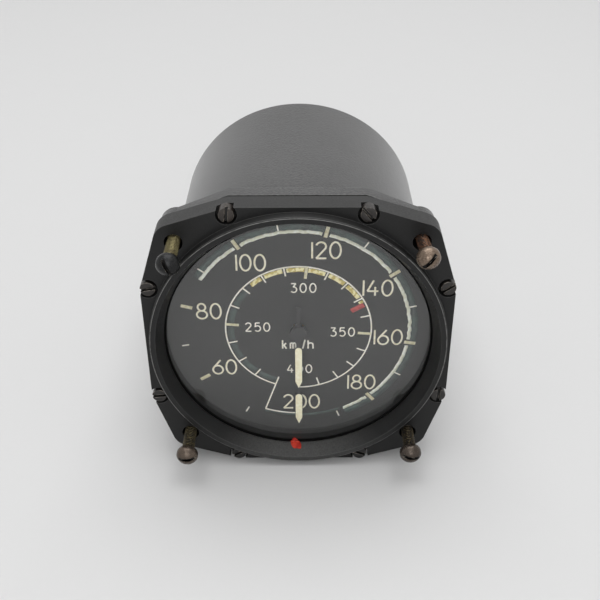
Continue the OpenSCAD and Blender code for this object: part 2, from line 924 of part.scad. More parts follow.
module front_plate_screws() {
    head_front = front_plate_y - small_head_h;
    tip = train_y + spigot_len - screw_spare;
    color("silver")
        for (p = pillar_at)
            cheese_screw(small_screw_r, small_head_r, small_head_h, head_front, tip, p, plate_slot);
}

// Flanged bush in a plate, with its flange on the side away from the gears
module bush(front, flange_front, bore, at) {
    difference() {
        union() {
            rod(bush_r, front, front + plate_t, at);
            rod(bush_flange_r, flange_front, flange_front + bush_flange_t, at);
        }
        rod(bore, front - over, front + plate_t + over, at);
    }
}

module bearing_bushes() {
    color("gold") {
        bush(front_plate_y, front_plate_y - bush_flange_t, arbor_r + running, [0, 0]);
        bush(front_plate_y, front_plate_y - bush_flange_t, pivot_r + running, wheel_at);
        bush(front_plate_y, front_plate_y - bush_flange_t, pivot_r + running, sector_at);
        bush(rear_plate_y, rear_plate_back, pivot_r + running, [0, 0]);
        bush(rear_plate_y, rear_plate_back, pivot_r + running, wheel_at);
        bush(rear_plate_y, rear_plate_back, arbor_r + running, sector_at);
    }
}

// Bracket on the rear plate that holds one end of the rocking shaft
module bracket(x) {
    difference() {
        union() {
            block(
                [x, rear_plate_back, rocker_z - bracket_half],
                [x + bracket_t, rocker_y + bracket_half, rocker_z + bracket_half]
            );
            block(
                [x, rear_plate_back, rocker_z + bracket_half - over],
                [x + foot_w, rear_plate_back + foot_t, rocker_z + foot_rise + bracket_half]
            );
        }
        cross_rod(pivot_r + running, x - over, x + bracket_t + over, rocker_y, rocker_z);
        rod(
            small_screw_r + screw_clear, rear_plate_back - over, rear_plate_back + foot_t + over,
            [x + foot_w / 2, rocker_z + foot_rise]
        );
    }
}

module left_bracket() {
    color("burlywood")
        bracket(bracket_x[0]);
}

module right_bracket() {
    color("burlywood")
        bracket(bracket_x[1]);
}

module bracket_screws() {
    head_back = rear_plate_back + foot_t + small_head_h;
    color("silver")
        for (p = bracket_screw_at)
            rear_screw(small_screw_r, small_head_r, small_head_h, rear_plate_y, head_back, p);
}

// Turns the pieces on the rocking shaft from the middle of their swing to their rest
module rocker_rest() {
    translate([0, rocker_y, rocker_z])
        rotate([-rocker_half, 0, 0])
            children();
}

// Hub of an arm on the rocking shaft
module rocker_hub(x) {
    cross_rod(shaft_hub_r, x - hub_w / 2, x + hub_w / 2, 0, 0);
}

// Hole for the rocking shaft in an arm's hub
module rocker_bore(x) {
    cross_rod(arbor_r + slip, x - hub_w, x + hub_w, 0, 0);
}

module rocking_shaft() {
    color("lightsteelblue")
        rocker_rest() {
            cross_rod(arbor_r, end_play - bracket_left, bracket_right - end_play, 0, 0);
            cross_rod(pivot_r, -bracket_left - bracket_t, bracket_right + bracket_t, 0, 0);
        }
}

// Arm with the pin that the capsule's stud pushes
module crank_arm() {
    color("darkkhaki")
        rocker_rest()
            difference() {
                union() {
                    rocker_hub(0);
                    block([-crank_half_w, -crank_half_t, 0], [crank_half_w, crank_half_t, crank_len]);
                    cross_rod(arm_r, -crank_pin_half, crank_pin_half, 0, crank_len);
                }
                rocker_bore(0);
            }
}

// Arm that presses on the sector's lever
module driver_arm() {
    color("darkkhaki")
        rocker_rest()
            difference() {
                union() {
                    rocker_hub(driver_x);
                    rod(arm_r, -driver_len - tip_over, 0, [driver_x, 0]);
                }
                rocker_bore(driver_x);
            }
}

// Weight that balances the arms
module counterweight() {
    color("darkkhaki")
        rocker_rest()
            difference() {
                union() {
                    rocker_hub(weight_x);
                    block(
                        [weight_x - weight_arm_half, -arm_r, -weight_drop],
                        [weight_x + weight_arm_half, arm_r, 0]
                    );
                    cross_rod(weight_r, weight_x - hub_w / 2, weight_x + hub_w / 2, 0, -weight_drop);
                }
                rocker_bore(weight_x);
            }
}

// Arbor between the plates, with its pivots in two bushes
module arbor(at, front_journal, rear_journal, rear_end) {
    rod(front_journal, front_plate_y, train_y + end_play, at);
    rod(arbor_r, train_y + end_play, rear_plate_y - end_play, at);
    rod(rear_journal, rear_plate_y - end_play, rear_end, at);
}

module sector_arbor() {
    color("lightsteelblue")
        arbor(sector_at, pivot_r, arbor_r, lever_hub_y + lever_hub_h);
}

// Fan with teeth on its rim, at the start of its swing
module sector_gear() {
    pitch = 360 / sector_teeth;
    first = -sector_spare_teeth;
    last = sector_moving_teeth - 1;
    start = 90 + first * pitch;
    end = 90 + (last + 1) * pitch;
    rim_in = sector_pitch_r - sector_rim;
    teeth_at = [for (k = [first:last]) 90 + (k + 0.5) * pitch];
    color("gold")
        difference() {
            translate([sector_at[0], 0, sector_at[1]])
                union() {
                    slab(sector_y, sector_y + wheel_t)
                        difference() {
                            polygon(concat(
                                [for (a = teeth_at) for (p = tooth(sector_teeth, wheel_top, a)) p],
                                [polar(shaft_hub_r, end + fan_flare), polar(shaft_hub_r, start - fan_flare)]
                            ));
                            polygon(concat(
                                arc(rim_in, start + rim_margin, end - rim_margin, rim_steps),
                                arc(sector_window_r, end - spoke_margin, start + spoke_margin, window_steps)
                            ));
                        }
                    rod(sector_hub_r, sector_y - sector_hub_step, sector_y + wheel_t);
                }
            rod(arbor_r + slip, sector_y - over, sector_y + wheel_t + over, sector_at);
        }
}

// Lever behind the rear plate, at the start of its swing
module sector_lever() {
    color("darkkhaki")
        difference() {
            translate([sector_at[0], 0, sector_at[1]])
                union() {
                    rod(lever_hub_r, lever_hub_y, lever_hub_y + lever_hub_h);
                    rotate([0, -sector_sweep / 2, 0])
                        cross_rod(arm_r, 0, lever_len + tip_over, lever_y, 0);
                }
            rod(arbor_r + slip, lever_hub_y - over, lever_hub_y + lever_hub_h + over, sector_at);
        }
}

// Arbor with the pinion that the sector turns
module wheel_arbor() {
    color("lightsteelblue") {
        arbor(wheel_at, pivot_r, pivot_r, rear_plate_back);
        translate([wheel_at[0], 0, wheel_at[1]])
            slab(second_pinion_y, second_pinion_y + pinion_w)
                gear_outline(pinion_teeth, pinion_top, 270);
    }
}

// Wheel with four crossings that turns the pointer's pinion
module intermediate_wheel() {
    rim_in = wheel_pitch_r - wheel_rim;
    color("gold")
        difference() {
            translate([wheel_at[0], 0, wheel_at[1]])
                union() {
                    slab(wheel_y, wheel_y + wheel_t)
                        difference() {
                            gear_outline(wheel_teeth, wheel_top, 360 - train_lean + 180 / wheel_teeth);
                            for (a = [0:90:270])
                                polygon(concat(
                                    arc(rim_in, a + spoke_outer, a + 90 - spoke_outer, rim_steps),
                                    arc(wheel_window_r, a + 90 - spoke_inner, a + spoke_inner, window_steps)
                                ));
                        }
                    rod(wheel_hub_r, wheel_y, wheel_y + wheel_t + wheel_hub_step);
                }
            rod(arbor_r + slip, wheel_y - over, wheel_y + wheel_t + wheel_hub_step + over, wheel_at);
        }
}

module hairspring_collet() {
    color("gold")
        sleeve(collet_r, arbor_r + slip, collet_y, collet_y + collet_h, wheel_at);
}

// Flat spiral that keeps every tooth and arm pressed one way
module hairspring() {
    total = 360 * spring_turns;
    angles = [for (a = [0:spring_step:total]) a];
    last = len(angles) - 1;
    mid = [for (a = angles) spring_in_r + (spring_out_r - spring_in_r) * a / total];
    dir = [for (a = angles) spring_end + total - a];
    color("steelblue")
        translate([wheel_at[0], 0, wheel_at[1]])
            slab(collet_y + spring_inset, collet_y + collet_h - spring_inset)
                polygon(concat(
                    [for (i = [0:last]) polar(mid[i] + spring_t / 2, dir[i])],
                    [for (i = [0:last]) polar(mid[last - i] - spring_t / 2, dir[last - i])]
                ));
}

// Post on the rear plate that holds the hairspring's outer end
module hairspring_stud() {
    color("gold") {
        rod(stud_post_r, collet_y, rear_plate_y, spring_stud_at);
        rod(stud_hole_r, rear_plate_y, rear_plate_back, spring_stud_at);
    }
}

// Staff that carries the pointer, with its pinion cut from the same bar
module pointer_staff() {
    color("lightsteelblue") {
        rod(arbor_r, staff_front, rear_plate_y - end_play);
        rod(pivot_r, rear_plate_y - end_play, rear_plate_back);
        slab(pointer_pinion_y, pointer_pinion_y + pinion_w)
            gear_outline(pinion_teeth, pinion_top, 180 - train_lean);
    }
}

// Outline of a luminous bar with a round start and a pointed end
module lume_outline(start, point, grow) {
    half = lume_half + grow;
    neck = point - lume_taper;
    tip_grow = grow * norm([lume_taper, lume_half]) / lume_half;
    polygon(concat(
        [for (p = arc(half, 0, 180, lume_round_steps)) p + [0, -start - lume_half]],
        [[-half, -neck], [0, -point - tip_grow], [half, -neck]]
    ));
}

// Both luminous bars, which lie on the blade
module lume_outlines(grow) {
    lume_outline(lume_start, lume_point, grow);
    lume_outline(lume_point + lume_break, pointer_len - lume_tip_gap, grow);
}

// Spine of the pointer: tail, stem and a narrow neck that ends in the tip
module spine_outline() {
    stem_end = -lume_start - lume_half;
    polygon([
        [-stem_half, tail_len],
        [-stem_half, stem_end],
        [-neck_half, stem_end],
        [-neck_half, taper_len - pointer_len],
        [0, -pointer_len],
        [neck_half, taper_len - pointer_len],
        [neck_half, stem_end],
        [stem_half, stem_end],
        [stem_half, tail_len]
    ]);
}

// Pointer: hub, blade and a short tail, at rest pointing down
module pointer() {
    color([0.1, 0.1, 0.1])
        difference() {
            union() {
                slab(blade_front, blade_front + blade_t)
                    union() {
                        lume_outlines(blade_border);
                        spine_outline();
                    }
                rod(hub_r, blade_front - hub_cap_t, blade_front + blade_t);
                rod(shaft_hub_r, blade_front, blade_front + blade_t + hub_boss_t);
            }
            rod(arbor_r + slip, staff_front, dial_front);
        }
}

module pointer_lume() {
    color([0.87, 0.85, 0.74])
        slab(blade_front - lume_t, blade_front)
            lume_outlines(0);
}

case();
front_frame();
flange_gasket();
glass_seal();
cover_glass();
spacer_ring();
dial_plate();
edge_screws();
mounting_screws();
pitot_port();
static_port();
port_washers();
port_nuts();
pressure_pipe();
base_plate();
base_screws();
capsule_stem();
stem_nut();
rear_diaphragm();
front_diaphragm();
capsule_stud();
long_pillars();
pillar_screws();
rear_plate();
short_pillars();
front_plate();
front_plate_screws();
bearing_bushes();
left_bracket();
right_bracket();
bracket_screws();
rocking_shaft();
crank_arm();
driver_arm();
counterweight();
sector_arbor();
sector_gear();
sector_lever();
wheel_arbor();
intermediate_wheel();
hairspring_collet();
hairspring();
hairspring_stud();
pointer_staff();
pointer();
pointer_lume();
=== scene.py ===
"""The looks of a round-dial airspeed indicator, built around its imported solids.

Sizes are in millimetres unless a name says otherwise, and MM turns them into Blender's metres.
Angles on the dial run clockwise from twelve o'clock, in degrees.
"""

import logging
import math
from dataclasses import dataclass
from enum import Enum
from functools import cache
from typing import Any, Callable, Iterable, Sequence

import bmesh
import bpy
from mathutils import Matrix, Vector
from mathutils.bvhtree import BVHTree


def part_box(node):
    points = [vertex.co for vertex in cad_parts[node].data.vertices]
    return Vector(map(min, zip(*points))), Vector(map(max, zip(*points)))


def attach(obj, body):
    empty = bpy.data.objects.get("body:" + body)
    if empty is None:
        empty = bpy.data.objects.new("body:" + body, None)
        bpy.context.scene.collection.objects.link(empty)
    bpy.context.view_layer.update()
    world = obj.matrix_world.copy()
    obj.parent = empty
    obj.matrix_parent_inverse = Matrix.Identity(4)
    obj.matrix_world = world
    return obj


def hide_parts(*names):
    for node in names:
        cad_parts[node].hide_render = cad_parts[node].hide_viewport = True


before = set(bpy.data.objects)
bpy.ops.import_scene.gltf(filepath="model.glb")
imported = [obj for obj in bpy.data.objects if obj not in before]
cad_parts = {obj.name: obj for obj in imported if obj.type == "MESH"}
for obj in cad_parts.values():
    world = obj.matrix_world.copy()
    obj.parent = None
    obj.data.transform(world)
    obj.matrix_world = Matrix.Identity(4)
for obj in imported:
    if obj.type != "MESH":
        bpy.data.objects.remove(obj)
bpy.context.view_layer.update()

MM = 0.001
# Points that lie nearer to each other than this, in metres, are joined.
WELD = 1e-6
WHITE = (1.0, 1.0, 1.0, 1.0)
LOG = logging.getLogger("airspeed_indicator")

Rgb = tuple[int, int, int]
Point = tuple[float, float]
Path = list[Point]


class Body(Enum):
    """The moving bodies that pieces ride on."""

    HOUSING = "housing"
    POINTER = "pointer_shaft"


class Slot(Enum):
    """The record's material slots."""

    CASE = "case_grey"
    FRAME = "frame_black"
    RUBBER = "rubber"
    GLASS = "glass"
    INNER = "inner_black"
    DIAL = "dial"
    DARK_STEEL = "dark_steel"
    BRONZE = "screw_bronze"
    PORT = "port_metal"
    FIBRE = "fibre"
    COPPER = "copper"
    ALUMINIUM = "plate_aluminium"
    STEEL = "steel"
    BRASS = "brass"
    SHEET = "bronze_sheet"
    BLUED = "blued_steel"
    POINTER = "pointer_black"
    LUME = "lume"


class Mark(Enum):
    """The attributes that meshes carry for their finishes."""

    EDGE = "edge"
    BARE = "bare"
    TINT = "tint"
    GILT = "gilt"
    # Dark paint in screw slots is grime and painted shade; in thread grooves it is painted shade.
    GRIME_SHADE = "grime"
    SPIN = "spin"
    LEAN = "lean"


class SocketKind(Enum):
    """The kinds of named input that a tree can have."""

    NUMBER = "NodeSocketFloat"
    OBJECT = "NodeSocketObject"
    MATERIAL = "NodeSocketMaterial"


def linear(colour: Rgb) -> tuple[float, float, float, float]:
    """Turns a screen colour into a linear one.

    Args:
        colour: red, green and blue from 0 to 255.

    Returns:
        The linear colour, fully opaque.
    """
    knee, slope, offset, power = 0.04045, 12.92, 0.055, 2.4
    shares = [value / 255 for value in colour]
    red, green, blue = [
        share / slope if share <= knee else ((share + offset) / (1 + offset)) ** power
        for share in shares
    ]
    return red, green, blue, 1.0


def polar(radius: float, angle: float) -> Point:
    """Gives the point on the dial at a radius and a clockwise angle."""
    turn = math.radians(angle)
    return radius * math.sin(turn), radius * math.cos(turn)


class NodeGraph:
    """A node tree that is written as a chain of calls."""

    def __init__(self, tree: bpy.types.NodeTree) -> None:
        """Starts from an empty tree."""
        self.tree = tree
        self.tree.nodes.clear()

    def add(self, kind: str, inputs: dict[Any, Any] | None = None, **settings: Any) -> bpy.types.Node:
        """Adds a node.

        Args:
            kind: Blender's name of the node type.
            inputs: a value, or a socket to link from, for each named input.
            settings: the node's own properties.

        Returns:
            The new node.
        """
        node = self.tree.nodes.new(kind)
        for name, value in settings.items():
            setattr(node, name, value)
        for key, value in (inputs or {}).items():
            if isinstance(value, bpy.types.NodeSocket):
                self.tree.links.new(value, node.inputs[key])
            else:
                node.inputs[key].default_value = value
        return node

    def sum(self, operation: str, *values: Any) -> bpy.types.NodeSocket:
        """Does the sum that Blender calls by this name on numbers or sockets."""
        return self.add("ShaderNodeMath", dict(enumerate(values)), operation=operation).outputs[0]

    def ramp(
        self, value: Any, low: Any, high: Any, start: float = 0.0, end: float = 1.0
    ) -> bpy.types.NodeSocket:
        """Maps a value smoothly, so that low gives start and high gives end."""
        inputs = {0: value, 1: low, 2: high, 3: start, 4: end}
        return self.add("ShaderNodeMapRange", inputs, interpolation_type="SMOOTHSTEP").outputs[0]

    def noise(self, place: Any, scale: Any, detail: float = 2.0, seed: Any = 0.0) -> bpy.types.Node:
        """Adds noise with a scale in cells to the metre, octaves of detail, and a seed that picks it."""
        inputs = {"Vector": place, "W": seed, "Scale": scale, "Detail": detail}
        return self.add("ShaderNodeTexNoise", inputs, noise_dimensions="4D")

    def vector(self, operation: str, inputs: dict[Any, Any], output: str = "Vector") -> bpy.types.NodeSocket:
        """Does the sum that Blender calls by this name on vectors, and gives one of its results."""
        return self.add("ShaderNodeVectorMath", inputs, operation=operation).outputs[output]

    def blend(self, share: Any, below: Any, above: Any) -> bpy.types.NodeSocket:
        """Mixes a share of the upper colour into the lower one."""
        return self.add("ShaderNodeMix", {0: share, 6: below, 7: above}, data_type="RGBA").outputs[2]

    def mark(self, mark: Mark) -> bpy.types.NodeSocket:
        """Reads one of the mesh's own marks."""
        return self.add("ShaderNodeAttribute", attribute_name=mark.value).outputs["Fac"]

    def seen(self) -> bpy.types.NodeSocket:
        """Tells the rays that show the surroundings from those that light the object.

        Returns:
            The socket that holds 1 for a ray that shows them.
        """
        ray = self.add("ShaderNodeLightPath").outputs
        mirrored = self.sum("MAXIMUM", ray["Is Glossy Ray"], ray["Is Transmission Ray"])
        return self.sum("MAXIMUM", ray["Is Camera Ray"], mirrored)

    def place_group(self, tree: bpy.types.NodeTree, values: dict[str, float]) -> bpy.types.Node:
        """Places a shared node group with its own values."""
        return self.add("ShaderNodeGroup", values, node_tree=tree)


class ShaderGroup(NodeGraph):
    """A shader node group with named number sockets."""

    def __init__(self, name: str, inputs: dict[str, float], outputs: Sequence[str]) -> None:
        """Makes the group's sockets.

        Args:
            name: what the group is called.
            inputs: each input's name and first value.
            outputs: the names of the outputs.
        """
        super().__init__(bpy.data.node_groups.new(name, "ShaderNodeTree"))
        sockets = self.tree.interface
        for label, value in inputs.items():
            made = sockets.new_socket(label, in_out="INPUT", socket_type=SocketKind.NUMBER.value)
            made.default_value = value
        for label in outputs:
            sockets.new_socket(label, in_out="OUTPUT", socket_type=SocketKind.NUMBER.value)
        self.given = self.add("NodeGroupInput").outputs

    def place(self, output: str = "Object") -> bpy.types.NodeSocket:
        """Gives the surface's own coordinates or normal."""
        return self.add("ShaderNodeTexCoord").outputs[output]


# The middle of a noise, how far to each side of it two colours mix, and the share of fine cells in the grain.
NOISE_MIDDLE, NOISE_REACH, FINE_SHARE = 0.5, 0.14, 0.7


@cache
def grain_group() -> bpy.types.NodeTree:
    """Builds the grain that breaks up a surface: a mask of fine cells and wide patches, and a height.

    Returns:
        The shader group.
    """
    inputs = {"Scale": 2000.0, "Patches": 60.0, "Contrast": 1.0, "Seed": 0.0}
    group = ShaderGroup("Surface grain", inputs, ("Mask", "Height"))
    place, seed = group.place(), group.given["Seed"]
    fine = group.noise(place, group.given["Scale"], detail=1.0, seed=seed).outputs[0]
    wide = group.noise(place, group.given["Patches"], detail=4.0, seed=seed).outputs[0]
    cells, patches = group.sum("MULTIPLY", fine, FINE_SHARE), group.sum("MULTIPLY", wide, 1 - FINE_SHARE)
    reach = group.sum("DIVIDE", NOISE_REACH, group.given["Contrast"])
    low, high = group.sum("SUBTRACT", NOISE_MIDDLE, reach), group.sum("ADD", NOISE_MIDDLE, reach)
    mask = group.ramp(group.sum("ADD", cells, patches), low, high)
    group.add("NodeGroupOutput", {"Mask": mask, "Height": fine})
    return group.tree


# The noise above which an unworn edge is rubbed, how far wear lowers it, and how softly a rubbed spot ends.
RUB_START, RUB_FALL, RUB_SOFT = 0.72, 0.45, 0.3


@cache
def wear_group() -> bpy.types.NodeTree:
    """Builds the wear on edges: a mask of the spots where a marked edge is rubbed.

    Returns:
        The shader group.
    """
    group = ShaderGroup("Edge wear", {"Amount": 0.5, "Scale": 900.0}, ("Edge",))
    rub = group.noise(group.place(), group.given["Scale"], detail=4.0, seed=3.0).outputs[0]
    bar = group.sum("SUBTRACT", RUB_START, group.sum("MULTIPLY", group.given["Amount"], RUB_FALL))
    rubbed = group.ramp(rub, bar, group.sum("ADD", bar, RUB_SOFT))
    group.add("NodeGroupOutput", {"Edge": group.sum("MULTIPLY", group.mark(Mark.EDGE), rubbed)})
    return group.tree


# The grey of settled dust, also used to paint the frame paler towards the bottom inside the ring's rim.
DUST_AND_PALING: Rgb = (148, 148, 146)
# How far up a normal points where dust starts to lie and where it lies fully.
UPWARD = (0.72, 0.96)
# The noise that gives no specks of dust and the noise that gives most.
SPECKS = (-0.2, 1.2)
# The height at which the frame starts to be painted paler towards the bottom, the height at which it is fully
# so, and the ring's rim that it stays inside.
PALE_TOP, PALE_FOOT, PALE_RIM = -29.0, -37.5, 40.0


@cache
def dust_and_paling_group() -> bpy.types.NodeTree:
    """Builds the fine dust that settles on what faces up, and a paler grey painted towards the bottom inside
    the ring's rim.

    Returns:
        The shader group.
    """
    group = ShaderGroup("Settled dust and low paling", {"Amount": 0.2, "Film": 0.0, "Scale": 2200.0}, ("Mask",))
    upward = group.add("ShaderNodeSeparateXYZ", {"Vector": group.place("Normal")}).outputs["Z"]
    place = group.place()
    height = group.add("ShaderNodeSeparateXYZ", {"Vector": place}).outputs["Z"]
    aside = group.vector("MULTIPLY", {0: place, 1: (1.0, 0.0, 1.0)})
    radius = group.vector("LENGTH", {0: aside}, "Value")
    noise = group.noise(place, group.given["Scale"], detail=5.0, seed=5.0).outputs[0]
    settled = group.sum("MULTIPLY", group.ramp(upward, *UPWARD), group.given["Amount"])
    low = group.ramp(height, PALE_TOP * MM, PALE_FOOT * MM)
    within = group.sum("LESS_THAN", radius, PALE_RIM * MM)
    low_pale = group.sum("MULTIPLY", group.sum("MULTIPLY", low, within), group.given["Film"])
    both = group.sum("ADD", settled, low_pale)
    group.add("NodeGroupOutput", {"Mask": group.sum("MULTIPLY", group.ramp(noise, *SPECKS), both)})
    return group.tree


@dataclass(frozen=True)
class Finish:
    """A painted, bare or moulded surface.

    Attributes:
        name: what the material is called.
        slot: the record's slot that it belongs to; not used.
        colour: its main colour.
        tone: the colour that the grain mixes in.
        metallic: 1 for bare metal.
        roughness: the mean roughness.
        specular: how strongly it mirrors, 0.5 for most paints.
        sheen: how much it brightens where it is seen at a low angle.
        spread: how far the grain moves the roughness.
        grain: fine cells to the metre.
        patches: wide patches to the metre.
        contrast: how sharply the grain parts the two colours.
        relief: the height of the grain.
        worn: the colour where edges are rubbed.
        wear: how much of the edges is rubbed.
        dust: how much dust lies on top.
        low_pale: how much paler the surface is painted towards the bottom inside the ring's rim.
        seed: picks another noise of the same kind.
    """

    name: str
    slot: Slot | None
    colour: Rgb
    tone: Rgb
    metallic: float = 0.0
    roughness: float = 0.5
    specular: float = 0.5
    sheen: float = 0.0
    spread: float = 0.08
    grain: float = 2500.0
    patches: float = 80.0
    contrast: float = 1.0
    relief: float = 0.01
    worn: Rgb | None = None
    wear: float = 0.5
    dust: float = 0.0
    low_pale: float = 0.0
    seed: float = 0.0

    def material(self) -> bpy.types.Material:
        """Builds the finish as a material, once.

        Returns:
            The material.
        """
        found = bpy.data.materials.get(self.name)
        if found is not None:
            return found
        material = bpy.data.materials.new(self.name)
        material.use_nodes = True
        graph = NodeGraph(material.node_tree)
        values = {"Metallic": self.metallic, "Specular IOR Level": self.specular, "Sheen Weight": self.sheen}
        shader = graph.add("ShaderNodeBsdfPrincipled", values)
        self.dress(graph, shader)
        graph.add("ShaderNodeOutputMaterial", {"Surface": self.surface(graph, shader.outputs[0])})
        return material

    def surface(self, graph: NodeGraph, shaded: bpy.types.NodeSocket) -> bpy.types.NodeSocket:
        """Gives what the material shows, which is the shader alone."""
        return shaded

    def body_colour(self, graph: NodeGraph, mask: bpy.types.NodeSocket) -> bpy.types.NodeSocket:
        """Mixes the colour of the unworn surface by the grain."""
        return graph.blend(mask, linear(self.colour), linear(self.tone))

    def dress(self, graph: NodeGraph, shader: bpy.types.Node) -> None:
        """Links what varies over the surface to the shader.

        Args:
            graph: the material's tree.
            shader: the material's shader.
        """
        cells = {"Scale": self.grain, "Patches": self.patches, "Contrast": self.contrast, "Seed": self.seed}
        grain = graph.place_group(grain_group(), cells)
        mask = grain.outputs["Mask"]
        colour = self.body_colour(graph, mask)
        if self.worn is not None:
            worn = graph.place_group(wear_group(), {"Amount": self.wear})
            colour = graph.blend(worn.outputs["Edge"], colour, linear(self.worn))
        # Dust on what faces up, and a paler grey towards the bottom inside the ring's rim.
        if self.dust:
            dust = graph.place_group(dust_and_paling_group(), {"Amount": self.dust, "Film": self.low_pale})
            colour = graph.blend(dust.outputs["Mask"], colour, linear(DUST_AND_PALING))
        bump = graph.add("ShaderNodeBump", {"Height": grain.outputs["Height"], "Distance": self.relief * MM})
        smooth, rough = self.roughness - self.spread, self.roughness + self.spread
        roughness = graph.ramp(mask, 0.0, 1.0, smooth, rough)
        links = {"Base Color": colour, "Roughness": roughness, "Normal": bump.outputs[0]}
        for label, socket in links.items():
            graph.tree.links.new(socket, shader.inputs[label])


@dataclass(frozen=True)
class ScrewFinish(Finish):
    """The finish of screws that have aged differently from each other.

    Attributes:
        brown: the colour of the heads that the tint mark names.
        brown_tone: the colour that the grain mixes into it.
        shank: the colour of a dark shank, which the bare mark names.
        gilt: the colour of the shanks that the gilt mark names.
        rust: the colour of the shanks under the brownest heads.
        rust_from: the tint of a head above which its shank is rusty.
        grime: the dark colour that the grime mark names, which is grime and painted shade in the slots and
            painted shade in the thread's grooves.
    """

    brown: Rgb = (118, 96, 80)
    brown_tone: Rgb = (96, 78, 66)
    shank: Rgb = (66, 58, 44)
    gilt: Rgb = (150, 138, 92)
    rust: Rgb = (112, 82, 62)
    rust_from: float = 0.6
    grime: Rgb = (14, 13, 12)

    def body_colour(self, graph: NodeGraph, mask: bpy.types.NodeSocket) -> bpy.types.NodeSocket:
        """Mixes each screw's own colours.

        Args:
            graph: the material's tree.
            mask: the grain's mask.

        Returns:
            The socket with the colour.
        """
        steel = super().body_colour(graph, mask)
        brown = graph.blend(mask, linear(self.brown), linear(self.brown_tone))
        tint = graph.mark(Mark.TINT)
        head = graph.blend(tint, steel, brown)
        bright = graph.blend(mask, linear(self.gilt), linear(self.shank))
        dull = graph.blend(graph.ramp(tint, self.rust_from, 1.0), linear(self.shank), linear(self.rust))
        dark = graph.blend(mask, dull, linear(self.tone))
        shank = graph.blend(graph.mark(Mark.GILT), dark, bright)
        clean = graph.blend(graph.mark(Mark.BARE), head, shank)
        # Slots get grime and painted shade in this dark colour, thread grooves painted shade.
        return graph.blend(graph.mark(Mark.GRIME_SHADE), clean, linear(self.grime))


@dataclass(frozen=True)
class GlassFinish:
    """Clear glass with faint smears, which lets direct light straight through.

    Attributes:
        name: what the material is called.
        slot: the record's slot that it belongs to; not used.
        index: how strongly it bends light.
        smear: the roughness of the smears.
        smears: smears to the metre.
        smear_range: the noise at which a smear starts and the noise at which it is full.
    """

    name: str = "clear_cover_glass"
    slot: Slot = Slot.GLASS
    index: float = 1.5
    smear: float = 0.02
    smears: float = 70.0
    smear_range: Point = (0.5, 0.8)

    def material(self) -> bpy.types.Material:
        """Builds the glass as a material.

        Returns:
            The material.
        """
        material = bpy.data.materials.new(self.name)
        material.use_nodes = True
        graph = NodeGraph(material.node_tree)
        place = graph.add("ShaderNodeTexCoord").outputs["Object"]
        cloud = graph.noise(place, self.smears, detail=5.0, seed=2.0).outputs[0]
        values = {
            "Base Color": WHITE,
            "Transmission Weight": 1.0,
            "IOR": self.index,
            "Roughness": graph.ramp(cloud, *self.smear_range, 0.0, self.smear),
        }
        glass = graph.add("ShaderNodeBsdfPrincipled", values).outputs[0]
        clear = graph.add("ShaderNodeBsdfTransparent").outputs[0]
        ray = graph.add("ShaderNodeLightPath").outputs
        straight = graph.sum("MAXIMUM", ray["Is Shadow Ray"], ray["Is Diffuse Ray"])
        surface = graph.add("ShaderNodeMixShader", {0: straight, 1: glass, 2: clear}).outputs[0]
        graph.add("ShaderNodeOutputMaterial", {"Surface": surface})
        return material


CASE_PAINT = Finish(
    "grey_case_paint", Slot.CASE, (22, 22, 22), (63, 63, 63), roughness=0.6, spread=0.06, sheen=0.4,
    grain=1900.0, patches=60.0, contrast=3.0, relief=0.14, worn=(206, 206, 202), wear=1.0,
)
# Its worn colour on the edges is wear, and on the lip and the ring's outer edge also painted highlight.
FRAME_PAINT = Finish(
    "black_frame_paint", Slot.FRAME, (15, 15, 15), (24, 24, 24), roughness=0.46, spread=0.06, specular=0.32,
    # The frame is also painted paler towards the bottom inside the ring's rim.
    grain=2600.0, patches=90.0, relief=0.02, worn=(124, 124, 122), wear=1.1, dust=0.06, low_pale=0.2, seed=1.0,
)
RUBBER = Finish(
    "black_rubber", Slot.RUBBER, (8, 8, 8), (14, 14, 14), roughness=0.9, specular=0.05,
    grain=4000.0, relief=0.02,
)
# Painted a little darker than the dial, as painted shade from the ring's lip.
SHADED_SPACER_PAINT = Finish(
    "charcoal_spacer_paint_shaded", Slot.INNER, (36, 37, 37), (44, 44, 43), roughness=0.75, specular=0.3,
    grain=1500.0, relief=0.012, seed=3.0,
)
DIAL_PAINT = Finish(
    "charcoal_dial_paint", Slot.DIAL, (38, 39, 39), (47, 47, 46), roughness=0.7, specular=0.3,
    grain=1500.0, patches=120.0, relief=0.012, seed=4.0,
)
CREAM = Finish(
    "cream_dial_paint", Slot.DIAL, (250, 246, 226), (236, 229, 200), roughness=0.6,
    grain=900.0, patches=250.0, relief=0.03, seed=6.0,
)
WHITE_ARC = Finish(
    "white_dial_arc", Slot.DIAL, (240, 243, 230), (224, 225, 203), roughness=0.6,
    grain=900.0, patches=250.0, contrast=2.0, relief=0.03, seed=5.0,
)
WHITE_LINE = Finish(
    "white_dial_line", Slot.DIAL, (252, 249, 240), (240, 234, 216), roughness=0.6,
    grain=1200.0, patches=200.0, relief=0.01, seed=7.0,
)
OLIVE_BAR = Finish(
    "olive_dial_bar", Slot.DIAL, (230, 225, 195), (208, 200, 158), roughness=0.6,
    grain=1500.0, patches=400.0, relief=0.02, seed=8.0,
)
YELLOW = Finish(
    "yellow_dial_paint", Slot.DIAL, (248, 240, 186), (206, 186, 102), roughness=0.6,
    grain=900.0, patches=500.0, contrast=3.0, relief=0.03, seed=9.0,
)
GREEN = Finish(
    "green_dial_paint", Slot.DIAL, (60, 80, 74), (58, 67, 64), roughness=0.65,
    grain=600.0, patches=200.0, relief=0.02, seed=10.0,
)
RED_MARK = Finish(
    "red_dial_paint", Slot.DIAL, (196, 70, 66), (170, 60, 58), roughness=0.6,
    grain=900.0, patches=300.0, relief=0.02, seed=11.0,
)
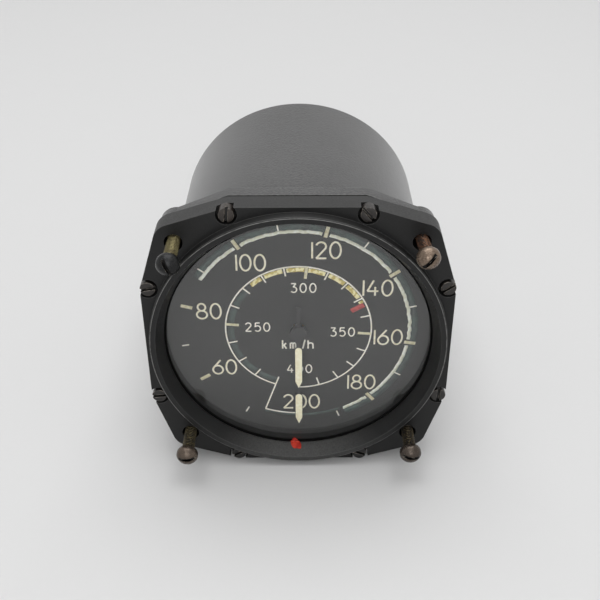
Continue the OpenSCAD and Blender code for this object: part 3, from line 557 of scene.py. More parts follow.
RED_DAB = Finish(
    "red_seal_paint", Slot.FRAME, (206, 58, 34), (158, 26, 14), roughness=0.5, specular=0.25,
    grain=700.0, patches=300.0, relief=0.05, seed=12.0,
)
DARK_STEEL = ScrewFinish(
    "blackened_steel", Slot.DARK_STEEL, (26, 26, 26), (36, 35, 34), metallic=0.2, roughness=0.42,
    grain=2200.0, patches=500.0, relief=0.02, worn=(150, 142, 132), wear=0.7, seed=13.0,
    brown=(84, 72, 62), brown_tone=(60, 52, 46),
)
SCREW_BRONZE = ScrewFinish(
    "aged_screw_bronze", Slot.BRONZE, (30, 31, 32), (38, 38, 38), metallic=0.7, roughness=0.3,
    grain=2400.0, patches=300.0, relief=0.015, worn=(176, 168, 156), wear=0.5, seed=14.0,
    brown=(128, 112, 98), brown_tone=(92, 78, 66), shank=(84, 74, 54), gilt=(142, 134, 94),
    rust=(118, 84, 62),
)
PORT_METAL = Finish(
    "turned_port_metal", Slot.PORT, (176, 176, 172), (150, 150, 147), metallic=1.0, roughness=0.36,
    grain=4000.0, patches=150.0, relief=0.01, worn=(206, 206, 202), wear=0.4, seed=15.0,
)
FIBRE = Finish(
    "red_fibre", Slot.FIBRE, (128, 66, 52), (104, 52, 42), roughness=0.7,
    grain=5000.0, relief=0.03, seed=16.0,
)
COPPER = Finish(
    "copper_tube", Slot.COPPER, (196, 120, 88), (160, 92, 64), metallic=1.0, roughness=0.34, seed=17.0,
)
ALUMINIUM = Finish(
    "milled_aluminium", Slot.ALUMINIUM, (188, 188, 186), (168, 168, 166), metallic=1.0, roughness=0.4,
    seed=18.0,
)
STEEL = Finish(
    "ground_steel", Slot.STEEL, (170, 170, 172), (146, 146, 150), metallic=1.0, roughness=0.3, seed=19.0,
)
BRASS = Finish(
    "turned_brass", Slot.BRASS, (206, 174, 104), (178, 146, 80), metallic=1.0, roughness=0.32, seed=20.0,
)
BRONZE_SHEET = Finish(
    "spring_bronze_sheet", Slot.SHEET, (196, 150, 102), (166, 120, 78), metallic=1.0, roughness=0.34,
    seed=21.0,
)
BLUED_STEEL = Finish(
    "blued_spring_steel", Slot.BLUED, (48, 58, 96), (38, 44, 74), metallic=1.0, roughness=0.3, seed=22.0,
)
POINTER_BLACK = Finish(
    "black_pointer_paint", Slot.POINTER, (22, 22, 23), (32, 32, 33), roughness=0.5, grain=3000.0, relief=0.01,
    worn=(70, 70, 68), wear=0.3, seed=23.0,
)
LUME = Finish(
    "cream_pointer_paint", Slot.LUME, (255, 251, 222), (244, 236, 198), roughness=0.6,
    grain=1100.0, patches=350.0, relief=0.04, seed=24.0,
)


class GeometryTree(NodeGraph):
    """A Geometry Nodes tree with named inputs, run once on a mesh."""

    def __init__(self, name: str, numbers: Iterable[str], **others: SocketKind) -> None:
        """Makes the tree's inputs.

        Args:
            name: what the tree is called.
            numbers: the names of its number inputs.
            others: the names and kinds of its other inputs.
        """
        super().__init__(bpy.data.node_groups.new(name, "GeometryNodeTree"))
        sockets = self.tree.interface
        kinds = {**{label: SocketKind.NUMBER for label in numbers}, **others, "Material": SocketKind.MATERIAL}
        sockets.new_socket("Geometry", in_out="INPUT", socket_type="NodeSocketGeometry")
        for label, kind in kinds.items():
            sockets.new_socket(label, in_out="INPUT", socket_type=kind.value)
        sockets.new_socket("Geometry", in_out="OUTPUT", socket_type="NodeSocketGeometry")
        self.given = self.add("NodeGroupInput").outputs

    def close(self, geometry: bpy.types.NodeSocket) -> None:
        """Ends the tree with plain geometry in its material.

        Args:
            geometry: the socket with what was built.
        """
        plain = self.add("GeometryNodeRealizeInstances", {"Geometry": geometry}).outputs[0]
        inputs = {"Geometry": plain, "Material": self.given["Material"]}
        painted = self.add("GeometryNodeSetMaterial", inputs).outputs[0]
        self.add("NodeGroupOutput", {"Geometry": painted})

    def run(self, mesh: bpy.types.Mesh, values: dict[str, Any]) -> bpy.types.Mesh:
        """Runs the tree on a mesh.

        Args:
            mesh: what goes in, which is used up.
            values: what each named input holds.

        Returns:
            The result as a plain mesh with its seams closed.
        """
        carrier = bpy.data.objects.new("carrier", mesh)
        bpy.context.scene.collection.objects.link(carrier)
        modifier = carrier.modifiers.new("tree", "NODES")
        modifier.node_group = self.tree
        sockets = self.tree.interface.items_tree
        names = {socket.name: socket.identifier for socket in sockets if socket.in_out == "INPUT"}
        for label, value in values.items():
            modifier[names[label]] = value
        graph = bpy.context.evaluated_depsgraph_get()
        made = bpy.data.meshes.new_from_object(carrier.evaluated_get(graph), depsgraph=graph)
        carrier.modifiers.remove(modifier)
        bpy.data.objects.remove(carrier)
        bpy.data.meshes.remove(mesh)
        shape = bmesh.new()
        shape.from_mesh(made)
        bmesh.ops.remove_doubles(shape, verts=shape.verts, dist=WELD)
        bmesh.ops.recalc_face_normals(shape, faces=shape.faces)
        shape.to_mesh(made)
        shape.free()
        return made


# Cells to the metre of the noise that a hand strays by, and of the noise that a stroke's width varies by.
STRAY_CELLS, RIPPLE_CELLS = 700.0, 1600.0


@cache
def stroke_tree() -> GeometryTree:
    """Builds flat paint along every path of a mesh, with round ends and an unsteady hand.

    Returns:
        The tree.
    """
    numbers = ("Width", "Thickness", "Step", "End", "Wobble", "Ripple", "Seed", "Depth")
    tree = GeometryTree("Painted stroke", numbers)
    given = tree.given
    path = tree.add("GeometryNodeMeshToCurve", {"Mesh": given["Geometry"]}).outputs[0]
    steps = {"Curve": path, "Length": given["Step"]}
    path = tree.add("GeometryNodeResampleCurve", steps, mode="LENGTH").outputs[0]
    place = tree.add("GeometryNodeInputPosition").outputs[0]
    drift = tree.noise(place, STRAY_CELLS, detail=1.0, seed=given["Seed"]).outputs["Color"]
    centred = tree.vector("SUBTRACT", {0: drift, 1: (NOISE_MIDDLE,) * 3})
    flat = tree.vector("MULTIPLY", {0: centred, 1: (2.0, 2.0, 0.0)})
    shift = tree.vector("SCALE", {0: flat, "Scale": given["Wobble"]})
    path = tree.add("GeometryNodeSetPosition", {"Geometry": path, "Offset": shift}).outputs[0]
    along = tree.add("GeometryNodeSplineParameter").outputs["Length"]
    whole = tree.add("GeometryNodeSplineLength").outputs["Length"]
    to_end = tree.sum("MINIMUM", along, tree.sum("SUBTRACT", whole, along))
    left = tree.sum("SUBTRACT", 1.0, tree.sum("MINIMUM", tree.sum("DIVIDE", to_end, given["End"]), 1.0))
    rounded = tree.sum("SQRT", tree.sum("SUBTRACT", 1.0, tree.sum("MULTIPLY", left, left)))
    rough = tree.noise(place, RIPPLE_CELLS, detail=2.0, seed=given["Seed"]).outputs[0]
    swell = tree.sum("MULTIPLY", tree.sum("SUBTRACT", rough, NOISE_MIDDLE), given["Ripple"])
    size = tree.sum("MULTIPLY", rounded, tree.sum("ADD", 1.0, swell))
    path = tree.add("GeometryNodeSetCurveNormal", {"Curve": path}, mode="Z_UP").outputs[0]
    path = tree.add("GeometryNodeSetCurveRadius", {"Curve": path, "Radius": size}).outputs[0]
    section = {"Width": given["Width"], "Height": given["Thickness"]}
    profile = tree.add("GeometryNodeCurvePrimitiveQuadrilateral", section).outputs[0]
    sweep = {"Curve": path, "Profile Curve": profile, "Fill Caps": True}
    solid = tree.add("GeometryNodeCurveToMesh", sweep).outputs[0]
    depth = tree.add("ShaderNodeCombineXYZ", {"Y": given["Depth"]}).outputs[0]
    upright = {"Geometry": solid, "Translation": depth, "Rotation": (math.pi / 2, 0.0, 0.0)}
    tree.close(tree.add("GeometryNodeTransform", upright).outputs[0])
    return tree


@cache
def screws_tree() -> GeometryTree:
    """Builds copies of a template on every point of a mesh, each with its own spin and lean.

    Returns:
        The tree.
    """
    tree = GeometryTree("Screws on points", (), Template=SocketKind.OBJECT)
    template = tree.add("GeometryNodeObjectInfo", {"Object": tree.given["Template"]}).outputs["Geometry"]
    spin, lean = (
        tree.add("GeometryNodeInputNamedAttribute", {"Name": mark.value}, data_type="FLOAT").outputs[0]
        for mark in (Mark.SPIN, Mark.LEAN)
    )
    turn = tree.add("ShaderNodeCombineXYZ", {"Y": spin, "Z": lean}).outputs[0]
    inputs = {"Points": tree.given["Geometry"], "Instance": template, "Rotation": turn}
    tree.close(tree.add("GeometryNodeInstanceOnPoints", inputs).outputs[0])
    return tree


@cache
def thread_tree() -> GeometryTree:
    """Builds a thread round the depth axis and joins it to the shank that goes in.

    Returns:
        The tree.
    """
    tree = GeometryTree("Screw thread", ("Core", "Ridge", "Pitch", "Length", "Start"))
    given = tree.given
    turns = tree.sum("DIVIDE", given["Length"], given["Pitch"])
    helix = {
        "Resolution": 24,
        "Rotations": turns,
        "Start Radius": given["Core"],
        "End Radius": given["Core"],
        "Height": given["Length"],
    }
    path = tree.add("GeometryNodeCurveSpiral", helix).outputs[0]
    path = tree.add("GeometryNodeSetCurveNormal", {"Curve": path}, mode="Z_UP").outputs[0]
    section = {"Resolution": 4, "Radius": given["Ridge"]}
    profile = tree.add("GeometryNodeCurvePrimitiveCircle", section).outputs[0]
    sweep = {"Curve": path, "Profile Curve": profile, "Fill Caps": True}
    ridge = tree.add("GeometryNodeCurveToMesh", sweep).outputs[0]
    start = tree.add("ShaderNodeCombineXYZ", {"Y": given["Start"]}).outputs[0]
    along = {"Geometry": ridge, "Translation": start, "Rotation": (-math.pi / 2, 0.0, 0.0)}
    ridge = tree.add("GeometryNodeTransform", along).outputs[0]
    mark = {"Geometry": ridge, "Name": Mark.BARE.value, "Value": 1.0}
    ridge = tree.add("GeometryNodeStoreNamedAttribute", mark, data_type="FLOAT", domain="POINT").outputs[0]
    joined = tree.add("GeometryNodeJoinGeometry", {"Geometry": given["Geometry"]})
    tree.tree.links.new(ridge, joined.inputs[0])
    tree.close(joined.outputs[0])
    return tree


# How far one stroke on the dial lies over another, and how many layers the strokes take turns in.
LIFT, LAYERS = 0.005, 3


def path_mesh(paths: Iterable[Path]) -> bpy.types.Mesh:
    """Draws paths as edges in one mesh, each rising a little so that strokes that cross lie over each other.

    Args:
        paths: the points of each path, across and up.

    Returns:
        The mesh, in metres.
    """
    points: list[tuple[float, float, float]] = []
    edges: list[tuple[int, int]] = []
    for number, path in enumerate(paths):
        first = len(points)
        rise = [LIFT * (number % LAYERS + step / len(path)) for step in range(len(path))]
        points += [(across * MM, up * MM, lift * MM) for (across, up), lift in zip(path, rise)]
        edges += [(index, index + 1) for index in range(first, len(points) - 1)]
    mesh = bpy.data.meshes.new("paths")
    mesh.from_pydata(points, edges, [])
    return mesh


# In degrees: faces that turn by less are joined, edges that turn by more are rounded, and edges that still
# turn by more than the last of these are shaded sharp.
FLAT, ROUNDED_FROM, SHARP_FROM = 0.2, 32.0, 50.0


def merged_copy(node: str) -> bmesh.types.BMesh:
    """Copies a node's loose triangles into one joined surface with its flat faces whole.

    Args:
        node: the node's name.

    Returns:
        The copy, in metres.
    """
    shape = bmesh.new()
    shape.from_mesh(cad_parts[node].data)
    bmesh.ops.remove_doubles(shape, verts=shape.verts, dist=WELD)
    bmesh.ops.dissolve_limit(shape, angle_limit=math.radians(FLAT), verts=shape.verts, edges=shape.edges)
    return shape


def everywhere(_: Vector) -> float:
    """Rubs every edge alike."""
    return 1.0


def soften(
    shape: bmesh.types.BMesh, name: str, width: float, rubbed: Callable[[Vector], float] = everywhere
) -> bpy.types.Mesh:
    """Rounds a shape's sharp edges and marks them for the wear.

    Args:
        shape: the shape, which is used up.
        name: what the mesh is called.
        width: how wide the rounding is.
        rubbed: says how strongly the edge at a place is rubbed.

    Returns:
        The finished mesh.
    """
    least = math.radians(ROUNDED_FROM)
    mark = shape.faces.layers.float.new(Mark.EDGE.value)
    sharp = [edge for edge in shape.edges if edge.is_manifold and edge.calc_face_angle() > least]
    made = bmesh.ops.bevel(
        shape, geom=sharp, offset=width * MM, offset_type="OFFSET", segments=2, profile=0.5,
        affect="EDGES", clamp_overlap=False,
    )
    for face in made["faces"]:
        face[mark] = rubbed(face.calc_center_median() / MM)
    for face in shape.faces:
        face.smooth = True
    mesh = bpy.data.meshes.new(name)
    shape.to_mesh(mesh)
    shape.free()
    mesh.set_sharp_from_angle(angle=math.radians(SHARP_FROM))
    return mesh


def lathe(profile: Sequence[Point], sides: int) -> bmesh.types.BMesh:
    """Turns a profile about the depth axis into a closed surface.

    Args:
        profile: radius and depth of each point, from the axis back to the axis.
        sides: how many sides the round has.

    Returns:
        The shape, in metres.
    """
    shape = bmesh.new()
    rings = []
    for radius, depth in profile:
        count = 1 if radius == 0 else sides
        turns = [2 * math.pi * index / count for index in range(count)]
        rings.append([
            shape.verts.new((radius * math.cos(a) * MM, depth * MM, radius * math.sin(a) * MM)) for a in turns
        ])
    for near, far in zip(rings, rings[1:]):
        for index in range(sides):
            corners = []
            for ring, step in ((near, 0), (near, 1), (far, 1), (far, 0)):
                vert = ring[(index + step) % len(ring)]
                if vert not in corners:
                    corners.append(vert)
            shape.faces.new(corners)
    bmesh.ops.recalc_face_normals(shape, faces=shape.faces)
    return shape


def cut_slot(shape: bmesh.types.BMesh, width: float, depth: float, length: float) -> bmesh.types.BMesh:
    """Cuts a screwdriver slot across a head whose front lies at the origin.

    Args:
        shape: the screw, which is used up.
        width: the slot's width.
        depth: how deep it goes in.
        length: half its length, past the head's rim.

    Returns:
        The slotted shape.
    """
    def as_object(source: bmesh.types.BMesh, name: str) -> bpy.types.Object:
        """Links a shape into the scene for a moment.

        Args:
            source: the shape, which is used up.
            name: what the object is called.

        Returns:
            The object.
        """
        mesh = bpy.data.meshes.new(name)
        source.to_mesh(mesh)
        source.free()
        thing = bpy.data.objects.new(name, mesh)
        bpy.context.scene.collection.objects.link(thing)
        return thing

    tool = bmesh.new()
    size = Matrix.Diagonal((2 * length * MM, 2 * depth * MM, width * MM, 1.0))
    bmesh.ops.create_cube(tool, size=1.0, matrix=size)
    screw, cutter = as_object(shape, "screw_blank"), as_object(tool, "slot_cutter")
    cut = screw.modifiers.new("slot", "BOOLEAN")
    cut.operation, cut.solver, cut.object = "DIFFERENCE", "EXACT", cutter
    graph = bpy.context.evaluated_depsgraph_get()
    mesh = bpy.data.meshes.new_from_object(screw.evaluated_get(graph), depsgraph=graph)
    slotted = bmesh.new()
    slotted.from_mesh(mesh)
    for thing in (screw, cutter):
        bpy.data.objects.remove(thing)
    bpy.data.meshes.remove(mesh)
    bmesh.ops.remove_doubles(slotted, verts=slotted.verts, dist=WELD)
    # The slot's faces are marked for dark paint: grime and painted shade.
    grime = slotted.faces.layers.float.new(Mark.GRIME_SHADE.value)
    for face in slotted.faces:
        middle = face.calc_center_median()
        within = abs(middle.z) < width / 2 * MM + WELD and middle.y < depth * MM + WELD
        face[grime] = float(within)
    return slotted


def solid_boxes(node: str) -> list[tuple[Vector, Vector]]:
    """Finds the box of each separate solid in a node.

    Args:
        node: the node's name.

    Returns:
        The lowest and highest corners in millimetres, from the top down and left before right.
    """
    shape = merged_copy(node)
    boxes = []
    unseen = set(shape.verts)
    while unseen:
        front = [unseen.pop()]
        solid = []
        while front:
            vert = front.pop()
            solid.append(vert.co / MM)
            near = {edge.other_vert(vert) for edge in vert.link_edges} & unseen
            unseen -= near
            front += near
        boxes.append(tuple(Vector(pick(axis) for axis in zip(*solid)) for pick in (min, max)))
    shape.free()
    middle = [((low + high) / 2, low, high) for low, high in boxes]
    middle.sort(key=lambda box: (-round(box[0].z), round(box[0].x)))
    return [(low, high) for _, low, high in middle]


def add_piece(
    mesh: bpy.types.Mesh, name: str, finish: Finish, body: Body = Body.HOUSING, nodes: Sequence[str] = ()
) -> bpy.types.Object:
    """Adds a finished piece to the object.

    Args:
        mesh: the piece, in its place.
        name: what it is called.
        finish: how its surface looks.
        body: the body that it rides on.
        nodes: the CAD nodes that it stands for.

    Returns:
        The piece.
    """
    mesh.name = name
    mesh.materials.clear()
    mesh.materials.append(finish.material())
    piece = bpy.data.objects.new(name, mesh)
    bpy.context.scene.collection.objects.link(piece)
    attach(piece, body.value)
    if nodes:
        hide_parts(*nodes)
    LOG.info("%s rides on %s", name, body.value)
    return piece


def even_normals(piece: bpy.types.Object) -> bpy.types.Object:
    """Keeps flat faces flat beside rounded edges.

    Args:
        piece: the piece, which gets a modifier.

    Returns:
        The same piece.
    """
    shading = piece.modifiers.new("even_normals", "WEIGHTED_NORMAL")
    shading.keep_sharp = True
    return piece


def dress_node(node: str, finish: Finish | GlassFinish) -> None:
    """Gives a CAD node that keeps its shape its finish.

    Args:
        node: the node's name.
        finish: how its surface looks.
    """
    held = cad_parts[node].data.materials
    held.clear()
    held.append(finish.material())
    LOG.info("%s keeps its shape", node)


@dataclass
class SoftenedNode:
    """A CAD node that is shown with rounded edges.

    Attributes:
        node: the node's name.
        finish: how its surface looks.
        rounding: how wide its edges are rounded.
        body: the body that it rides on.
        rubbed: says how strongly the edge at a place is rubbed.
    """

    node: str
    finish: Finish
    rounding: float
    body: Body = Body.HOUSING
    rubbed: Callable[[Vector], float] = everywhere

    def build(self) -> None:
        """Makes the rounded piece and puts it in the node's place."""
        mesh = soften(merged_copy(self.node), self.node, self.rounding, self.rubbed)
        even_normals(add_piece(mesh, f"{self.node}_skin", self.finish, self.body, (self.node,)))


@dataclass
class CaseShell:
    """The grey case with the gasket in front of its flange.

    Attributes:
        rounding: how wide the case's edges are rounded.
        front_reach: how far behind the gasket the flange's front edge may lie.
        front_rub: how strongly that edge is rubbed.
    """

    rounding: float = 0.2
    front_reach: float = 0.5
    front_rub: float = 0.25

    def build(self) -> None:
        """Makes the case and dresses the gasket."""
        front_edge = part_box("flange_gasket")[1].y / MM + self.front_reach

        def rubbed(spot: Vector) -> float:
            """Says how strongly the case's edge at a place is rubbed."""
            return self.front_rub if spot.y < front_edge else 1.0

        SoftenedNode("case", CASE_PAINT, self.rounding, rubbed=rubbed).build()
        dress_node("flange_gasket", RUBBER)


@dataclass
class FrontFrame:
    """The black front frame and the dab of red seal paint on its lower rim.

    Attributes:
        rounding: how wide the frame's edges are rounded.
        lip_edge: the radius that the lip's edges lie inside.
        inner_edge: the radius that the ring's inner edge lies inside.
        ring_front: the depth that the ring's outer edge lies before.
        ring_foot: the height that its outer edge is less rubbed below.
        rubs_and_highlights: how strongly the lip, the ring's inner edge, its outer edge, its foot and the
            other
        edges are painted in the worn colour, as wear and, on the lip and the ring's outer edge, as painted
        highlight.
        dab_across: where the middle of the dab lies, across.
        dab_up: where a line of sight to its middle starts, up.
        dab_front: where that line starts, in depth.
        dab_half: half the dab's length and width across the line of sight.
        dab_waves: how many waves its outline has, how high they are and where they start.
        dab_turn: how far its length is turned, anticlockwise from the right.
        dab_slant: how far the line of sight falls for each millimetre of depth.
        dab_away: how far in front of the dab the lines of sight begin.
        dab_thickness: how thick the paint is.
        dab_rings: how many rings of faces the dab has.
        dab_sides: how many sides its outline has.
    """

    rounding: float = 0.09
    lip_edge: float = 37.2
    inner_edge: float = 38.9
    ring_front: float = -2.9
    ring_foot: float = -24.0
    rubs_and_highlights: tuple[float, float, float, float, float] = (1.0, 0.15, 0.9, 0.35, 0.2)
    dab_across: float = -0.93
    dab_up: float = -34.8
    dab_front: float = -1.0
    dab_half: Point = (1.8, 1.3)
    dab_waves: Sequence[tuple[int, float, float]] = ((3, 0.07, 0.6), (5, 0.06, 2.0))
    dab_turn: float = -44.0
    dab_slant: float = 0.89
    dab_away: float = 8.0
    dab_thickness: float = 0.09
    dab_rings: int = 5
    dab_sides: int = 28

    def build(self) -> None:
        """Makes the frame and the dab."""
        SoftenedNode("front_frame", FRAME_PAINT, self.rounding, rubbed=self.rubbed).build()
        add_piece(self.dab(), "red_seal_dab", RED_DAB)

    def rubbed(self, spot: Vector) -> float:
        """Says how strongly the frame's edge at a place is painted in the worn colour, as wear and painted
        highlight.

        Args:
            spot: the place, in millimetres.

        Returns:
            The strength, from 0 to 1.
        """
        lip, inner, outer, foot, other = self.rubs_and_highlights
        radius = math.hypot(spot.x, spot.z)
        if radius < self.inner_edge:
            return lip if radius < self.lip_edge else inner
        if spot.y > self.ring_front:
            return other
        return outer if spot.z > self.ring_foot else foot

    def outline(self, turn: float) -> float:
        """Gives the share of its half size that the dab reaches to, at a turn round its middle."""
        return 1.0 + sum(high * math.sin(count * turn + start) for count, high, start in self.dab_waves)

    def dab(self) -> bpy.types.Mesh:
        """Lays the dab over the rim and the seal behind it.

        Returns:
            The dab as a closed skin of paint.
        """
        surfaces = [self.surface(node) for node in ("front_frame", "glass_seal", "cover_glass")]
        shape = bmesh.new()
        lifts = (self.dab_thickness, -self.dab_thickness)
        layers = [self.layer(shape, surfaces, lift) for lift in lifts]
        for rings in layers:
            for near, far in zip(rings, rings[1:]):
                self.band(shape, near, far)
        self.band(shape, layers[0][-1], layers[1][-1])
        bmesh.ops.recalc_face_normals(shape, faces=shape.faces)
        for face in shape.faces:
            face.smooth = True
        mesh = bpy.data.meshes.new("red_seal_dab")
        shape.to_mesh(mesh)
        shape.free()
        return mesh

    def layer(
        self, shape: bmesh.types.BMesh, surfaces: Sequence[BVHTree], lift: float
    ) -> list[list[bmesh.types.BMVert]]:
        """Adds the points of the dab's face or of its back.

        Args:
            shape: what the points go into.
            surfaces: the surfaces that the dab lies on.
            lift: how far the points lie over them, less than nothing for the back.

        Returns:
            The points in rings, from the middle out.
        """
        sight = Vector((0.0, 1.0, -self.dab_slant)).normalized()
        upright = Vector((1.0, 0.0, 0.0)).cross(sight)
        slant = math.radians(self.dab_turn)
        along = Vector((math.cos(slant), 0.0, 0.0)) + math.sin(slant) * upright
        aside = Vector((-math.sin(slant), 0.0, 0.0)) + math.cos(slant) * upright
        start = Vector((self.dab_across, self.dab_front, self.dab_up)) - self.dab_away * sight
        rings = []
        for ring in range(self.dab_rings + 1):
            share = ring / self.dab_rings
            swell = lift * math.sqrt(max(0.0, 1 - share**4)) if lift > 0 else lift
            verts = []
            for side in range(self.dab_sides if ring else 1):
                turn = 2 * math.pi * side / self.dab_sides
                reach = share * self.outline(turn)
                far = along * (math.cos(turn) * self.dab_half[0] * reach)
                wide = aside * (math.sin(turn) * self.dab_half[1] * reach)
                spot = self.hit(surfaces, start + far + wide, sight)
                verts.append(shape.verts.new((spot - sight * swell) * MM))
            rings.append(verts)
        return rings

    @staticmethod
    def surface(node: str) -> BVHTree:
        """Makes a node's surface ready for lines of sight.

        Args:
            node: the node's name.

        Returns:
            The surface, in millimetres.
        """
        shape = merged_copy(node)
        bmesh.ops.scale(shape, vec=Vector((1.0, 1.0, 1.0)) / MM, verts=shape.verts)
        tree = BVHTree.FromBMesh(shape)
        shape.free()
        return tree

    @staticmethod
    def hit(surfaces: Sequence[BVHTree], start: Vector, sight: Vector) -> Vector:
        """Finds the point where a line of sight from a start meets the nearest of some surfaces."""
        found = [tree.ray_cast(start, sight) for tree in surfaces]
        return min((spot for spot in found if spot[0] is not None), key=lambda spot: spot[3])[0]

    @staticmethod
    def band(
        shape: bmesh.types.BMesh, near: Sequence[bmesh.types.BMVert], far: Sequence[bmesh.types.BMVert]
    ) -> None:
        """Fills the faces between two rings of points.

        Args:
            shape: what the faces go into.
            near: the inner ring, which may be one point.
            far: the outer ring.
        """
        count = len(far)
        for index in range(count):
            after = (index + 1) % count
            if len(near) == 1:
                shape.faces.new((near[0], far[index], far[after]))
            else:
                shape.faces.new((near[index], far[index], far[after], near[after]))


def head_place(low: Vector, high: Vector) -> Vector:
    """Gives the middle of the front of a screw's box."""
    return Vector(((low.x + high.x) / 2, low.y, (low.z + high.z) / 2))


def copy_screws(
    template: bpy.types.Mesh,
    places: Sequence[Vector],
    turns: Sequence[float],
    looks: dict[Mark, Sequence[float]],
    finish: Finish,
) -> bpy.types.Mesh:
    """Copies a screw to its places.

    Args:
        template: the screw, with the front of its head at the origin.
        places: where the fronts of the heads lie.
        turns: how far each screw is turned, anticlockwise from the front.
        looks: how strongly each screw carries each mark.
        finish: how the screws look.

    Returns:
        All the screws as one mesh.
    """
    points = bpy.data.meshes.new("screw_places")
    points.from_pydata([place * MM for place in places], [], [])
    marks = {Mark.SPIN: [-math.radians(turn) for turn in turns], **looks}
    for mark, values in marks.items():
        points.attributes.new(mark.value, "FLOAT", "POINT").data.foreach_set("value", list(values))
    holder = bpy.data.objects.new("screw_template", template)
    made = screws_tree().run(points, {"Template": holder, "Material": finish.material()})
    bpy.data.objects.remove(holder)
    return made


@dataclass
class EdgeScrews:
    """The eight cheese-head screws in the notches along the frame's edges.

    Attributes:
        head: radius and height of the head.
        shank: radius of the shank.
        slot: width and depth of the slot.
        turns: how far each slot is turned anticlockwise, from the top down and left before right.
        tints: how much bare brown metal each head shows, in the same order.
        rounding: how wide the edges are rounded.
        sides: how many sides the round has.
    """

    head: Point = (2.0, 3.0)
    shank: float = 1.25
    slot: Point = (0.8, 1.0)
    turns: Sequence[float] = (85, -50, 10, 35, 5, 88, 30, -20)
    tints: Sequence[float] = (0.35, 0.15, 0.15, 0.15, 0.1, 0.1, 0.0, 0.0)
    rounding: float = 0.1
    sides: int = 48

    def build(self) -> None:
        """Makes one screw and copies it to its eight places."""
        boxes = solid_boxes("edge_screws")
        length = boxes[0][1].y - boxes[0][0].y
        radius, height = self.head
        stem = [(self.shank, height), (self.shank, length), (0, length)]
        profile = [(0, 0), (radius, 0), (radius, height), *stem]
        blank = cut_slot(lathe(profile, self.sides), *self.slot, 2 * radius)
        template = soften(blank, "edge_screw", self.rounding)
        places = [head_place(*box) for box in boxes]
        copies = copy_screws(template, places, self.turns, {Mark.TINT: self.tints}, DARK_STEEL)
        even_normals(add_piece(copies, "slotted_edge_screws", DARK_STEEL, nodes=("edge_screws",)))


@dataclass
class MountingScrews:
    """The four long panel screws with domed heads, which hang loose in the frame's corners.

    Attributes:
        head: radius and side height of the head.
        dome: how high the head is domed.
        crest: radius of the thread's crest.
        ridge: half the height of the thread.
        pitch: pitch of the thread.
        plain: length of plain shank under the head.
        slot: width and depth of the slot.
        turns: how far each slot is turned anticlockwise, from the top down and left before right.
        leans: how far each screw leans to the right, in the same order.
        hold: the depth at which a leaning screw keeps its place.
        tints: how brown each head is, in the same order.
        gilts: how bright each shank is, in the same order.
        seam: how far behind the head the look of the shank starts.
        groove_shade: how dark the thread's grooves are painted, as painted shade.
        rounding: how wide the edges are rounded.
        sides: how many sides the round has.
        dome_steps: how many rings the dome has.
    """

    head: Point = (3.0, 1.1)
    dome: float = 2.0
    crest: float = 1.75
    ridge: float = 0.18
    pitch: float = 0.7
    plain: float = 0.6
    slot: Point = (0.9, 1.0)
    turns: Sequence[float] = (-65, 50, 3, -9)
    leans: Sequence[float] = (0.0, 2.97, 0.0, 0.0)
    hold: float = 6.0
    tints: Sequence[float] = (0.0, 1.0, 0.5, 0.3)
    gilts: Sequence[float] = (0.9, 0.0, 0.2, 0.0)
    seam: float = 0.05
    groove_shade: float = 0.5
    rounding: float = 0.1
    sides: int = 64
    dome_steps: int = 8

    def build(self) -> None:
        """Makes one threaded screw and copies it to its four places."""
        boxes = solid_boxes("mounting_screws")
        length = boxes[0][1].y - boxes[0][0].y
        radius, side = self.head
        under = self.dome + side
        sphere = (radius**2 + self.dome**2) / (2 * self.dome)
        half = math.asin(radius / sphere)
        turns = [half * step / self.dome_steps for step in range(1, self.dome_steps + 1)]
        core = self.crest - self.ridge
        cap = [(sphere * math.sin(turn), sphere * (1 - math.cos(turn))) for turn in turns]
        stem = [(radius, under), (core, under), (core, length - self.ridge), (core - self.ridge, length)]
        blank = lathe([(0, 0), *cap, *stem, (0, length)], self.sides)
        mesh = soften(cut_slot(blank, *self.slot, 2 * radius), "mounting_screw", self.rounding)
        self.mark_shank(mesh, under)
        values = {
            "Core": core * MM,
            "Ridge": self.ridge * MM,
            "Pitch": self.pitch * MM,
            "Length": (length - under - self.plain - self.pitch) * MM,
            "Start": (under + self.plain) * MM,
            "Material": SCREW_BRONZE.material(),
        }
        template = thread_tree().run(mesh, values)
        leans = [math.radians(lean) for lean in self.leans]
        places = [head_place(*box) for box in boxes]
        for place, lean in zip(places, leans):
            place.x += (self.hold - place.y) * math.tan(lean)
        looks = {Mark.LEAN: leans, Mark.TINT: self.tints, Mark.GILT: self.gilts}
        copies = copy_screws(template, places, self.turns, looks, SCREW_BRONZE)
        even_normals(add_piece(copies, "threaded_mounting_screws", SCREW_BRONZE, nodes=("mounting_screws",)))

    def mark_shank(self, mesh: bpy.types.Mesh, under: float) -> None:
        """Marks what lies behind the head as bare metal, with painted shade in the thread's grooves.

        Args:
            mesh: the screw.
            under: the depth of the head's underside.
        """
        start = (under + self.seam) * MM
        bare = mesh.attributes.new(Mark.BARE.value, "FLOAT", "POINT")
        for vert, spot in zip(mesh.vertices, bare.data):
            spot.value = float(vert.co.y > start)
        # The shank's core, which the thread's grooves show, is painted dark as painted shade.
        for face, spot in zip(mesh.polygons, mesh.attributes[Mark.GRIME_SHADE.value].data):
            if face.center.y > start:
                spot.value = self.groove_shade


@dataclass
class GlassStack:
    """What is clamped between the ring's lip and the dial: seal, cover glass and spacer."""

    def build(self) -> None:
        """Dresses the three pieces."""
        dress_node("glass_seal", RUBBER)
        dress_node("cover_glass", GlassFinish())
        dress_node("spacer_ring", SHADED_SPACER_PAINT)


@dataclass(frozen=True)
class Glyph:
    """A figure or letter as strokes in a box one unit high, middle at the origin.

    Attributes:
        width: its width.
        strokes: the paths of its strokes.
    """

    width: float
    strokes: tuple[Path, ...]


